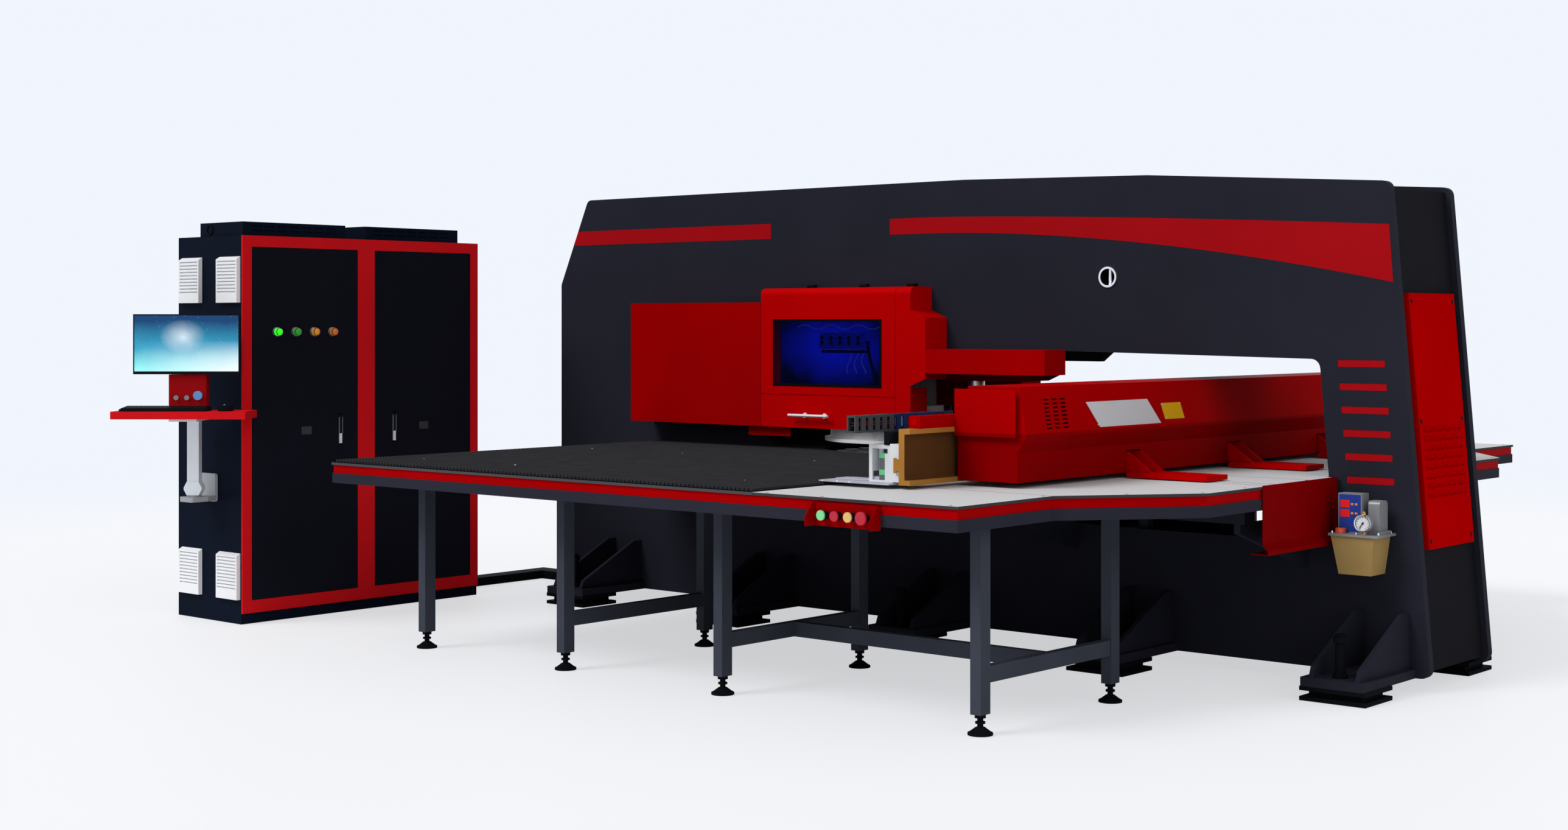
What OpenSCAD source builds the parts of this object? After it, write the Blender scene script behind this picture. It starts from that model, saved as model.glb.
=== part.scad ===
// Turret punch press with a closed frame, brush feed tables, a sheet carriage and a control cabinet.
// Millimetres. +X runs along the frame, +Y away from the operator, +Z up.
// The origin is on the floor, at the centre of the four corner anchor holes.

/* [Main frame] */
// Spacing of the feet along the frame
foot_pitch = 1172.5; // [1120:2.5:1220]
// Frame past the last left anchor hole
left_overhang = 561; // [520:1:620]
// Frame past the last right anchor hole, at its foot
right_overhang = 213; // [200:1:260]
// Near anchor row to the near side plate
near_reach = 418; // [380:1:460]
// Far side plate to the far anchor row
far_reach = 60; // [55:1:80]
// Width over the two side plates
frame_w = 672; // [640:2:720]
// Thickness of a side plate
plate_t = 42; // [30:1:50]
// Top of the frame over the floor
frame_top = 2328; // [2280:1:2400]
// Lean of the right end over its height
right_lean = 186; // [120:1:220]
// Drop of the crown towards the right end
crown_drop = 106; // [80:1:140]
// Thickness of the closing webs
web_t = 24; // [16:1:30]
// Set-back of the webs from the plate edges
web_inset = 25; // [20:1:40]

/* [Frame window] */
// Solid column at the left of the window
left_column = 1683; // [1640:1:1720]
// Solid column at the right of the window
right_column = 400; // [380:1:420]
// Bottom of the window over the floor
window_foot = 620; // [580:1:660]
// Top of the window above the turret
window_head = 1400; // [1390:1:1420]
// Top of the window in its raised right part
window_rise = 1465; // [1455:1:1480]

/* [Levelling mounts] */
// Length of a pad along the frame
pad_l = 300; // [260:2:340]
// Width of a pad across the frame
pad_w = 260; // [240:2:280]
// Height of a pad
pad_h = 61; // [50:1:80]
// Radius of the anchor hole
anchor_r = 13; // [10:0.5:15]
// Outer radius of the hollow levelling screw
screw_r = 22; // [20:0.5:26]

/* [Feed table] */
// Top face of the table over the floor
table_top = 913; // [900:1:925]
// Half of the table's length across the frame
table_half = 2642; // [2560:2:2720]
// Left end of the table from the frame's left end
table_inset_left = 820; // [780:1:860]
// Right end of the table from the frame's right end
table_inset_right = 431; // [380:1:460]
// Step from the table's right end back to the outer wings
wing_step = 397; // [340:1:440]
// Brush area to the beam at rest
brush_clear = 367; // [367:1:404]
// Bristle length above the brush plates
bristle_h = 15; // [8:1:16]
// Spacing of the brush rows
brush_pitch = 50; // [40:1:70]
// Thickness of the top plates
top_t = 12; // [8:1:16]
// Height of the red edge band
band_h = 40; // [30:1:50]
// Height of the frame tubes under the band
tube_h = 48; // [40:1:60]

/* [Turret] */
// Turret axis from the left of the window
turret_off = 740; // [720:1:780]
// Radius of the circle of stations
station_r = 400; // [390:1:405]
// Number of stations
stations = 20; // [12:1:20]
// Radius of the turret drum
drum_r = 460; // [455:1:465]
// Radius of the upper turret's flange
flange_r = 490; // [480:1:494]
// Gap between table and upper turret
throat = 59; // [56:1:75]
// Height of the upper turret's drum
drum_h = 110; // [90:1:115]
// Radius of the turret shafts
shaft_r = 60; // [50:1:80]
// Radius of the ram
ram_r = 45; // [35:1:55]

/* [Cross beam] */
// Left face of the beam's web at rest from the window's right side
beam_off = 1094; // [1060:1:1118]
// Depth of the channel section
beam_d = 57; // [50:1:60]
// Height of the channel section
beam_h = 232; // [225:1:245]
// Distance from the table's ends to the beam's ends
beam_short = 498; // [440:2:640]
// Clearance between the beam and the table
beam_lift = 17; // [16:1:24]
// Width of the beam cover's lower box
cover_w = 305; // [280:1:320]
// Top of the beam cover over the table
cover_rise = 422; // [400:1:424]
// Spacing of the three beam guides
guide_pitch = 910; // [880:1:940]

/* [Carriage] */
// Length of the clamp carriage
carriage_l = 1300; // [1200:10:1400]
// Number of clamps
clamp_count = 3; // [2:1:4]
// Reach of the clamp jaws from the beam
jaw_reach = 404; // [380:1:440]

/* [Covers] */
// Depth of the hood in front of the frame
hood_d = 182; // [178:1:220]
// Bottom of the hood over the floor
hood_foot = 1043; // [1035:1:1060]
// Top of the hood over the floor
hood_head = 1786; // [1740:1:1820]
// Thickness of sheet-metal covers
sheet_t = 3; // [2:0.5:4]

/* [Cabinet] */
// Depth of the cabinet
cabinet_d = 600; // [550:5:640]
// Width of the cabinet across its doors
cabinet_w = 1627; // [1580:1:1700]
// Height of the cabinet without its fan boxes
cabinet_h = 2066; // [2000:1:2150]
// Gap between cabinet doors and the frame's left end
cabinet_gap = 170; // [150:5:250]
// Near side of the cabinet
cabinet_y = -2296; // [-2350:1:-2250]

/* [Operator arm] */
// Height of the keyboard tray's top
tray_top = 1140; // [1100:1:1180]
// Width of the keyboard tray
tray_w = 700; // [640:2:720]
// Width of the monitor
monitor_w = 560; // [520:2:580]
// Height of the monitor
monitor_h = 316; // [290:2:340]
// Turn of the arm towards the machine
arm_turn = 41; // [20:1:41]

/* [Hidden] */
$fn = 48;

// Clearances: seated pieces that must not merge, and running fits
seat = 0.3;
running = 0.05;
eps = 1;

// Planes of the main frame
anchor_y = (near_reach + frame_w + far_reach) / 2;
near_y = near_reach - anchor_y;
far_y = near_y + frame_w;
mid_y = (near_y + far_y) / 2;
frame_left = -2 * foot_pitch - left_overhang;
frame_right = 2 * foot_pitch + right_overhang;
table_left = frame_left + table_inset_left;
table_right = frame_right - table_inset_right;
wing_right = table_right - wing_step;
beam_x = frame_right - right_column - beam_off;
brush_right = beam_x - brush_clear;
foot_z = pad_h;
shoulder_z = frame_top - crown_drop;
lean = atan(right_lean / (shoulder_z - foot_z));
foot_xs = [for (i = [-2:2]) i * foot_pitch];

// Left chamfer and crown of the outline
chamfer_w = 230;
chamfer_h = 499;
crown_flat = 2753;
crown_step = 26;
crown_run = 1408;
outline_r = 40;
window_r = 45;
window_step = 27;
haunch_w = 80;

// Foot brackets
bracket_w = 290;
bracket_t = 39;
gusset_h = 240;
gusset_t = 22;
gusset_x = 105;
base_z = foot_z + bracket_t;

// Heights of the table's layers
plate_z = table_top - top_t;
band_z = plate_z - band_h;
tube_z = band_z - tube_h;
table_gap = 8;
side_v = frame_w / 2 + table_gap;
wing_len = 650;
wing_slope = 516;
guides = [for (i = [-1:1]) mid_y + i * guide_pitch];
slot_w = 12;
slot_off = 45;

// Turret
window_left = frame_left + left_column;
turret_x = window_left + turret_off;
haunch_x = turret_x + 1053;
turret_open_r = drum_r + 20;
upper_z = table_top + throat;
flange_t = 18;
drum_z = upper_z + flange_t;
tool_r = 24;
head_z = drum_z + drum_h;
punch_x = turret_x + station_r;
die_top = table_top - 2;
lower_z = table_top - 113;
ceiling_z = window_head + web_inset;
floor_z = window_foot - web_inset;
ram_z = head_z + 85;
ram_stroke = 37;

// Beam and its travel
beam_z = table_top + beam_lift;
beam_web = 30;
beam_lip = 20;
beam_half = table_half - beam_short;
beam_top = beam_z + beam_h;
back_x = beam_x + beam_d;
jaw_tip = beam_x - jaw_reach;
travel_back = jaw_tip - punch_x + 2;
travel_front = 180;
cover_z = beam_z + 7;
cover_x = back_x + seat;
cover_right = cover_x + cover_w;
cover_short = 333;
cover_near = mid_y - beam_half + cover_short;
cover_far = mid_y + beam_half - cover_short;
trough_h = 52;
trough_t = 4;
trough_short = 68;
tail_z = beam_z + 49;
tail_h = 62;
tail_d = 28;
slide_z = table_top + 5;
slide_t = 22;
slide_left = cover_right + 22;
slide_l = 400;
rail_z = tube_z - 13;
rail_h = 28;
rail_half = 17;
leg_inset = 60;
leg_left = slide_left + leg_inset;
leg_right = slide_left + slide_l - leg_inset;
slot_left = leg_left - travel_back - 15;
rail_right = leg_right + travel_front + 20;
rail_beam_left = slot_left - 40;
rail_beam_right = rail_right + 15;
post_off = frame_w / 2 - plate_t - 25 - seat;

// Hood
hood_y = near_y - hood_d;
hood_left = turret_x - 656;
hood_seam = turret_x + 260;
hood_right = turret_x + 359;
hood_side = turret_x + 454;
hood_low = turret_x + 328;
hinge_y = near_y - 14;
hinge_z = hood_head + 10;
knuckle_r = 9.7;
hood_round = 40;

// Cabinet
door_x = frame_left - cabinet_gap;
cabinet_x = door_x - cabinet_d;
plinth_h = 57;
bezel_t = 12;
door_t = 18;
door_gap = 2;
pin_x = 5;
pin_in = 10;
pin_r = 3;
door_z = 126;
door_top = cabinet_h - 62;
door_w = (cabinet_w - 2 * 59 - 120) / 2;
door1_y = cabinet_y + 59;
door2_y = cabinet_y + cabinet_w - 59 - door_w;

// Operator arm
post_x = cabinet_x + 356;
post_y = cabinet_y - 134;
post_r = 31;
tray_h = 40;
tray_back = 72;
tray_d = 240;
panel_w = 197;
panel_h = 188;
panel_d = 60;
monitor_z = tray_top + 348;
monitor_d = 38;

// Plane geometry. Outlines run anticlockwise, so that a left normal points inwards.
function normal(p, q) = let (d = q - p) [-d.y, d.x] / norm(d);
function mitre(p, q, s) = let (a = normal(p, q), b = normal(q, s)) (a + b) / (1 + a * b);
function around(pts, i) = let (n = len(pts)) [pts[(i + n - 1) % n], pts[i], pts[(i + 1) % n]];
function inset(pts, d) = [for (i = [0:len(pts) - 1]) let (w = around(pts, i)) w[1] + d * mitre(w[0], w[1], w[2])];
function arc_corner(p, q, s, r, n) =
    let (
        a = normal(p, q), b = normal(q, s), turn = atan2(cross(a, b), a * b),
        c = q + r * mitre(p, q, s), start = atan2(-a.y, -a.x)
    )
    turn <= 20 ? [q] : [for (k = [0:n]) c + r * [cos(start + turn * k / n), sin(start + turn * k / n)]];
function rounded(pts, r, n = 5) =
    [for (i = [0:len(pts) - 1]) let (w = around(pts, i)) each arc_corner(w[0], w[1], w[2], r, n)];
function box_outline(x0, y0, x1, y1) = [[x0, y0], [x1, y0], [x1, y1], [x0, y1]];
function right_edge(z) = frame_right - right_lean * (z - foot_z) / (shoulder_z - foot_z);
function window_right(z) = right_edge(z) - right_column;

// A profile in X and Z, extruded from y0 to y1
module along_y(pts, y0, y1) {
    translate([0, y1, 0]) rotate([90, 0, 0]) linear_extrude(y1 - y0) polygon(pts);
}

// A profile in Y and Z, extruded from x0 to x1
module along_x(pts, x0, x1) {
    translate([x0, 0, 0]) rotate([90, 0, 90]) linear_extrude(x1 - x0) polygon(pts);
}

// A box from its lowest corner to its highest corner
module block(a, b) {
    translate(a) cube(b - a);
}

// Cylinders along the three axes, from a starting point
module rod_x(p, r, l) {
    translate(p) rotate([0, 90, 0]) cylinder(r = r, h = l);
}
module rod_y(p, r, l) {
    translate(p) rotate([-90, 0, 0]) cylinder(r = r, h = l);
}
module rod_z(p, r, l) {
    translate(p) cylinder(r = r, h = l);
}

// Copies on both sides of the frame's middle plane
module both_sides() {
    children();
    translate([0, 2 * mid_y, 0]) mirror([0, 1, 0]) children();
}

// Frame outline and window
function frame_outline() = [
    [frame_left, foot_z], [frame_right, foot_z], [right_edge(shoulder_z), shoulder_z],
    [frame_right - crown_run, frame_top - crown_step], [frame_left + chamfer_w + crown_flat, frame_top],
    [frame_left + chamfer_w, frame_top], [frame_left, frame_top - chamfer_h]
];
function window_outline() = [
    [window_left, window_foot], [window_right(window_foot), window_foot],
    [window_right(window_rise - window_step), window_rise - window_step], [haunch_x, window_rise],
    [haunch_x - haunch_w, window_head], [window_left, window_head]
];

module side_plate(y0) {
    difference() {
        along_y(rounded(frame_outline(), outline_r), y0, y0 + plate_t);
        along_y(rounded(window_outline(), window_r), y0 - eps, y0 + plate_t + eps);
    }
}

module web_ring(pts, outer, inner) {
    difference() {
        along_y(inset(pts, outer), near_y + plate_t, far_y - plate_t);
        along_y(inset(pts, inner), near_y - eps, far_y + eps);
    }
}

// Six shallow ventilation recesses beside the right column
recess_w = 223;
recess_h = 32;
recess_pitch = 103;
recess_top = 1436;
recess_d = 3;
module recesses() {
    for (i = [0:5]) {
        z = recess_top - recess_h - i * recess_pitch;
        x = right_edge(z) - 316;
        block([x, near_y - eps, z], [x + recess_w, near_y + recess_d, z + recess_h]);
    }
}

// One foot bracket: base plate with the screw hole, and two gussets against the side plate
module foot_bracket(x, reach) {
    gusset = [[0, base_z], [0, base_z + gusset_h], [60, base_z + gusset_h], [reach - 40, base_z + 45], [reach - 20, base_z]];
    difference() {
        block([x - bracket_w / 2, near_y - reach, foot_z], [x + bracket_w / 2, near_y, base_z]);
        children();
    }
    for (s = [-1, 1]) {
        along_x([for (p = gusset) [near_y - p.x, p.y]], x + s * gusset_x - gusset_t / 2, x + s * gusset_x + gusset_t / 2);
    }
}

// Lifting socket: a ring with a crossbar
lift_x = frame_right - 1622;
lift_z = 1821;
lift_r = 50;
module lifting_ring() {
    difference() {
        rod_y([lift_x, near_y - 8, lift_z], lift_r, 8 + plate_t);
        rod_y([lift_x, near_y - 8 - eps, lift_z], lift_r - 10, 8 + plate_t + 2 * eps);
    }
    rod_z([lift_x, near_y + plate_t / 2, lift_z - lift_r + 5], 9, 2 * lift_r - 10);
}

module main_frame() {
    bracket_reach = near_reach + 80;
    color("#23242c") {
        difference() {
            union() {
                side_plate(near_y);
                side_plate(far_y - plate_t);
                web_ring(frame_outline(), web_inset, web_inset + web_t);
                web_ring(window_outline(), -web_inset - web_t, -web_inset);
            }
            recesses();
            rod_y([lift_x, near_y - eps, lift_z], lift_r - 5, plate_t + 2 * eps);
        }
        lifting_ring();
        for (x = foot_xs) {
            foot_bracket(x, bracket_reach) rod_z([x, -anchor_y, foot_z - eps], screw_r + 2, bracket_t + 2 * eps);
            translate([0, 2 * mid_y, 0]) mirror([0, 1, 0])
                foot_bracket(x, far_reach + 80)
                    rod_z([x, 2 * mid_y - anchor_y, foot_z - eps], screw_r + 2, bracket_t + 2 * eps);
        }
    }
}

// Pads of I section, each with a hollow levelling screw standing on it
module levelling_mount(x, y, pad_y) {
    flange = 18;
    waist = 30;
    difference() {
        union() {
            block([x - pad_l / 2, pad_y - pad_w / 2, 0], [x + pad_l / 2, pad_y + pad_w / 2, flange]);
            block([x - pad_l / 2 + waist, pad_y - pad_w / 2 + waist, flange],
                [x + pad_l / 2 - waist, pad_y + pad_w / 2 - waist, pad_h - flange]);
            block([x - pad_l / 2, pad_y - pad_w / 2, pad_h - flange], [x + pad_l / 2, pad_y + pad_w / 2, pad_h]);
        }
        rod_z([x, y, -eps], anchor_r, pad_h + 2 * eps);
    }
    difference() {
        union() {
            rod_z([x, y, pad_h], screw_r, 225);
            rod_z([x, y, base_z], screw_r + 10, 18);
            rod_z([x, y, base_z + 150], screw_r + 8, 24);
        }
        rod_z([x, y, pad_h - eps], anchor_r + 1, 240);
    }
}

module levelling_mounts() {
    color("#101114")
    for (x = foot_xs, s = [-1, 1]) {
        levelling_mount(x, s * anchor_y, s * (anchor_y - 50));
    }
}

// Louvred panel on the leaning right end
panel_foot = 610;
panel_head = 1732;
module end_panel() {
    w = 480;
    t = web_inset;
    long = (panel_head - panel_foot) / cos(lean);
    rows = 8;
    pitch = 41;
    first = 232;
    color("#b00000")
    translate([right_edge(panel_foot), mid_y, panel_foot]) rotate([0, -lean, 0])
    difference() {
        union() {
            block([-t, -w / 2, 0], [0, w / 2, long]);
            for (i = [0:rows - 1], j = [-1.5:1.5]) {
                z = first + i * pitch;
                along_y([[0, z], [9, z], [0, z + 16]], j * 104 - 46, j * 104 + 46);
            }
        }
        for (i = [0:rows - 1], j = [-1.5:1.5]) {
            z = first + i * pitch;
            block([-3, j * 104 - 43, z - 9], [eps, j * 104 + 43, z]);
        }
    }
}

// Shallow cover left of the hood, with the side guard that hangs into the window
module left_cover() {
    x0 = frame_left + 774;
    x1 = hood_left - sheet_t - seat;
    z1 = hood_foot + 668;
    guard_x = turret_x - 781;
    guard_w = 302;
    guard_drop = 51;
    guard_y = hood_y + 40;
    color("#a80006") {
        difference() {
            block([x0, hood_y, hood_foot], [x1, near_y, z1]);
            block([x0 + sheet_t, hood_y + sheet_t, hood_foot + sheet_t], [x1 - sheet_t, near_y + eps, z1 - sheet_t]);
        }
        block([guard_x, guard_y, hood_foot - guard_drop], [guard_x + guard_w, guard_y + sheet_t, hood_foot - seat]);
        block([guard_x, guard_y, hood_foot - guard_drop], [x1, guard_y + sheet_t, hood_foot + sheet_t]);
    }
}

// Section of the hood in Y and Z, with its rounded front edge, between two depths
function hood_section(d) =
    let (y0 = hood_y + d, z1 = hood_head - d, r = hood_round - d)
    concat(
        [[y0, hood_foot]],
        [for (k = [0:6]) [y0 + r - r * cos(k * 15), z1 - r + r * sin(k * 15)]],
        [[near_y, z1]]
    );
function hood_skin(rear) = concat(
    [[hood_y, hood_foot], [hood_y + sheet_t, hood_foot]],
    [for (k = [0:6]) let (r = hood_round - sheet_t)
        [hood_y + hood_round - r * cos(k * 15), hood_head - hood_round + r * sin(k * 15)]],
    [[rear, hood_head - sheet_t], [rear, hood_head]],
    [for (k = [6:-1:0]) let (r = hood_round)
        [hood_y + r - r * cos(k * 15), hood_head - r + r * sin(k * 15)]]
);

// Fixed part of the hood: hinge rail, left cheek, right part with its stepped side, and hinge knuckles
module hood_shell() {
    cheek = concat(hood_section(0), [[near_y, hood_foot]]);
    side = [
        [hood_low - 40, hood_foot], [hood_low, hood_foot], [hood_low, hood_foot + 224],
        [hood_side, hood_foot + 274], [hood_side, hood_foot + 584], [hood_right, hood_foot + 623],
        [hood_low - 40, hood_foot + 623]
    ];
    color("#a80006") {
        difference() {
            along_x(cheek, hood_left - sheet_t, hood_left - seat);
            block([hood_left - 2 * sheet_t, hood_y - eps, hood_foot - eps], [hood_left + eps, hood_y + sheet_t + seat, hood_head]);
        }
        block([hood_left - sheet_t, near_y - 6, hood_head - 80], [hood_right, near_y, hood_head - sheet_t - 3]);
        along_x(hood_skin(near_y), hood_seam + 2, hood_right);
        difference() {
            along_x(cheek, hood_right - sheet_t, hood_right);
            block([hood_right - 2 * sheet_t, hood_y - eps, hood_foot - eps],
                [hood_right + eps, near_y + eps, hood_foot + 600]);
        }
        difference() {
            along_y(side, hood_y, near_y);
            along_y(concat([[hood_low - 41, hood_foot - eps]], [for (p = side) if (p.x > hood_low - 40) [p.x - sheet_t, p.y - 1.5]],
                [[hood_low - 41, hood_foot + 618]]), hood_y + sheet_t, near_y + eps);
        }
    }
    color("#101114")
    for (x = [turret_x - 440, turret_x - 79, hood_seam - 20]) {
        rod_x([x - 25, hinge_y, hinge_z], knuckle_r, 50);
        block([x - 25, hinge_y, hinge_z], [x + 25, near_y, hinge_z + knuckle_r]);
    }
}

// Lifting door of the hood, with its window
glass_x0 = 98;
glass_x1 = 818;
glass_z0 = 232;
glass_z1 = 566;
module hood_door() {
    color("#a80006")
    difference() {
        union() {
            along_x(hood_skin(hinge_y), hood_left, hood_seam);
            block([hood_left, hood_y - 2, hood_foot + 176], [hood_seam, hood_y + sheet_t, hood_foot + 180]);
        }
        block([hood_left + glass_x0, hood_y - 5, hood_foot + glass_z0],
            [hood_left + glass_x1, hood_y + 2 * sheet_t, hood_foot + glass_z1]);
    }
}

module hood_glass() {
    lap = 14;
    color("#1020a0", 0.5)
    block([hood_left + glass_x0 - lap, hood_y + sheet_t, hood_foot + glass_z0 - lap],
        [hood_left + glass_x1 + lap, hood_y + sheet_t + 5, hood_foot + glass_z1 + lap]);
}

module hood_handle() {
    x0 = hood_left + 225;
    z = hood_foot + 67;
    long = 270;
    off = 34;
    color("#e8e8ea") {
        rod_x([x0, hood_y - off, z], 8, long);
        for (x = [x0 + 90, x0 + long - 45]) {
            rod_y([x, hood_y - off, z], 6, off);
            rod_y([x, hood_y - 6, z], 14, 6);
        }
    }
}

// Box cover over the slide drive, right of the hood
module arm_cover() {
    x0 = hood_side + seat;
    z0 = cover_rise + table_top + 10;
    z1 = z0 + 122;
    color("#a80006")
    difference() {
        block([x0, hood_y, z0], [x0 + 720, near_y, z1]);
        block([x0 + sheet_t, hood_y + sheet_t, z0 + sheet_t], [x0 + 720 - sheet_t, near_y + eps, z1 - sheet_t]);
    }
}

module rear_cover() {
    x1 = hood_side;
    color("#a80006")
    difference() {
        block([hood_left, far_y, hood_foot], [x1, far_y + hood_d, hood_head]);
        block([hood_left + sheet_t, far_y - eps, hood_foot - eps], [x1 - sheet_t, far_y + hood_d - sheet_t, hood_head - sheet_t]);
    }
}

// Ram housing under the window's head, bored for the ram
module ram_housing() {
    x0 = punch_x - 110;
    x1 = punch_x + 423;
    z0 = ceiling_z - 125;
    profile = [[x0, z0], [x1 - 70, z0], [x1, z0 + 30], [x1, ceiling_z], [x0, ceiling_z]];
    color("#7a0508")
    difference() {
        along_y(profile, mid_y - 150, mid_y + 150);
        rod_z([punch_x, mid_y, z0 - eps], ram_r + running, ram_stroke + 90);
    }
}

module ram() {
    z1 = ceiling_z - 125 + 85;
    color("#c9ccd2") {
        rod_z([punch_x, mid_y, ram_z + 25], ram_r, z1 - ram_z - 25);
        rod_z([punch_x, mid_y, ram_z], ram_r - 8, 25);
    }
}

// Bearing housings of the two turrets
module turret_hubs() {
    color("#8a8d90") {
        difference() {
            union() {
                rod_z([turret_x, mid_y, head_z + 60], 110, ceiling_z - head_z - 60);
                rod_z([turret_x, mid_y, ceiling_z - 30], 170, 30);
            }
            rod_z([turret_x, mid_y, head_z + 60 - eps], shaft_r + running, 130);
        }
        difference() {
            union() {
                rod_z([turret_x, mid_y, floor_z], 110, 150);
                rod_z([turret_x, mid_y, floor_z], 170, 30);
            }
            rod_z([turret_x, mid_y, floor_z + 40], shaft_r + running, 150);
        }
    }
}

// Upper turret: flanged drum with tool bores and radial openings
module upper_turret() {
    color("#c9ccd2")
    difference() {
        union() {
            rod_z([turret_x, mid_y, upper_z], flange_r, flange_t);
            rod_z([turret_x, mid_y, drum_z], drum_r, drum_h);
            rod_z([turret_x, mid_y, head_z], 150, 59);
            rod_z([turret_x, mid_y, head_z + 59], shaft_r, 120);
        }
        for (i = [0:stations - 1]) {
            translate([turret_x, mid_y, 0]) rotate([0, 0, (i + 0.5) * 360 / stations]) {
                rod_z([station_r, 0, upper_z - eps], tool_r + seat, flange_t + drum_h + 2 * eps);
                rod_x([drum_r - 20, 0, drum_z + 24], 12, 20 + eps);
            }
        }
    }
}

module punch_tools() {
    color("#5a5f66")
    for (i = [0:stations - 1]) {
        translate([turret_x, mid_y, 0]) rotate([0, 0, (i + 0.5) * 360 / stations]) {
            rod_z([station_r, 0, upper_z + 4], tool_r, flange_t + drum_h - 4);
            rod_z([station_r, 0, head_z], tool_r + 9, 22);
            rod_z([station_r, 0, head_z + 22], tool_r - 6, 22);
        }
    }
}

// Lower turret with its ring of dies
module lower_turret() {
    die_r = 38;
    color("#b9bcc2")
    difference() {
        union() {
            rod_z([turret_x, mid_y, lower_z], drum_r, table_top - 13 - lower_z);
            rod_z([turret_x, mid_y, lower_z - 46], 150, 46);
            rod_z([turret_x, mid_y, floor_z + 60], shaft_r, lower_z - 46 - floor_z - 60);
            for (i = [0:stations - 1]) {
                translate([turret_x, mid_y, 0]) rotate([0, 0, (i + 0.5) * 360 / stations])
                    rod_z([station_r, 0, table_top - 14], die_r, die_top - table_top + 14);
            }
        }
        for (i = [0:stations - 1]) {
            translate([turret_x, mid_y, 0]) rotate([0, 0, (i + 0.5) * 360 / stations])
                rod_z([station_r, 0, lower_z - eps], tool_r - 8, die_top - lower_z + 2 * eps);
        }
    }
}

// Outlines of the table's top plates, as seen from above
function near_v(v) = mid_y - v;
function wing_outline() = [
    [brush_right + 1, near_v(table_half)], [wing_right, near_v(table_half)],
    [wing_right - 5, near_v(table_half) + wing_len],
    [table_right, near_v(table_half) + wing_len + wing_slope], [table_right, near_v(side_v)],
    [brush_right + 1, near_v(side_v)]
];
function table_outline() = concat([[table_left, near_v(table_half)]],
    [for (i = [1:4]) wing_outline()[i]], [[table_left, near_v(side_v)]]);

module turret_opening(z0, z1) {
    rod_z([turret_x, mid_y, z0], turret_open_r, z1 - z0);
}

// Two narrow slots over each guide, for the legs of the beam slides
module guide_slots(y, right) {
    for (s = [-1, 1]) {
        block([slot_left, y + s * slot_off - slot_w / 2, plate_z - eps],
            [right, y + s * slot_off + slot_w / 2, table_top + eps]);
    }
}

// Rows of bristles along X, kept clear of the guide slots and the turret
function row_end(y) = min([for (g = guides) abs(y - g) < slot_off + 30 ? slot_left - 20 : brush_right - 12]);
module brush_row(y, left) {
    chord = abs(y - mid_y) < turret_open_r + 20 ? sqrt(pow(turret_open_r + 20, 2) - pow(y - mid_y, 2)) : 0;
    section = [[y - 6, table_top - 2], [y + 6, table_top - 2], [y + 3, table_top + bristle_h], [y - 3, table_top + bristle_h]];
    if (chord > 0) {
        along_x(section, left, turret_x - chord);
        along_x(section, turret_x + chord, row_end(y));
    } else {
        along_x(section, left, row_end(y));
    }
}

module brush_side() {
    rows = floor((table_half - side_v - 30) / brush_pitch);
    difference() {
        block([table_left, near_v(table_half), plate_z], [brush_right, near_v(side_v), table_top]);
        turret_opening(plate_z - eps, table_top + eps);
        guide_slots(guides[0], brush_right + eps);
    }
    for (i = [0:rows]) brush_row(near_v(table_half - 15 - i * brush_pitch), table_left + 15);
}

module brush_tables() {
    mid_left = window_left + 10;
    half = side_v - 1;
    color("#1b1c1f") {
        both_sides() brush_side();
        difference() {
            block([mid_left, mid_y - half, plate_z], [brush_right, mid_y + half, table_top]);
            turret_opening(plate_z - eps, table_top + eps);
            guide_slots(mid_y, brush_right + eps);
        }
        for (i = [-6:6]) brush_row(mid_y + i * brush_pitch, mid_left + 10);
    }
}

module white_plates() {
    right = window_right(plate_z) - 12;
    half = side_v - 1;
    color("#d4d5d6") {
        both_sides() difference() {
            translate([0, 0, plate_z]) linear_extrude(top_t) polygon(wing_outline());
            guide_slots(guides[0], table_right + eps);
        }
        difference() {
            block([brush_right + 1, mid_y - half, plate_z], [right, mid_y + half, table_top]);
            guide_slots(mid_y, right + eps);
        }
    }
}

// Edge band and tube frame under the top plates, with cross members
module table_ring(z0, z1, outer, inner) {
    translate([0, 0, z0]) linear_extrude(z1 - z0) difference() {
        polygon(inset(table_outline(), outer));
        polygon(inset(table_outline(), inner));
    }
}

// Lug that bolts an outer table to a column of the main frame
module table_lug(x) {
    block([x - 14, near_v(side_v) - 10, tube_z + 8], [x + 14, near_y - seat, band_z - 8]);
}

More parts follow.
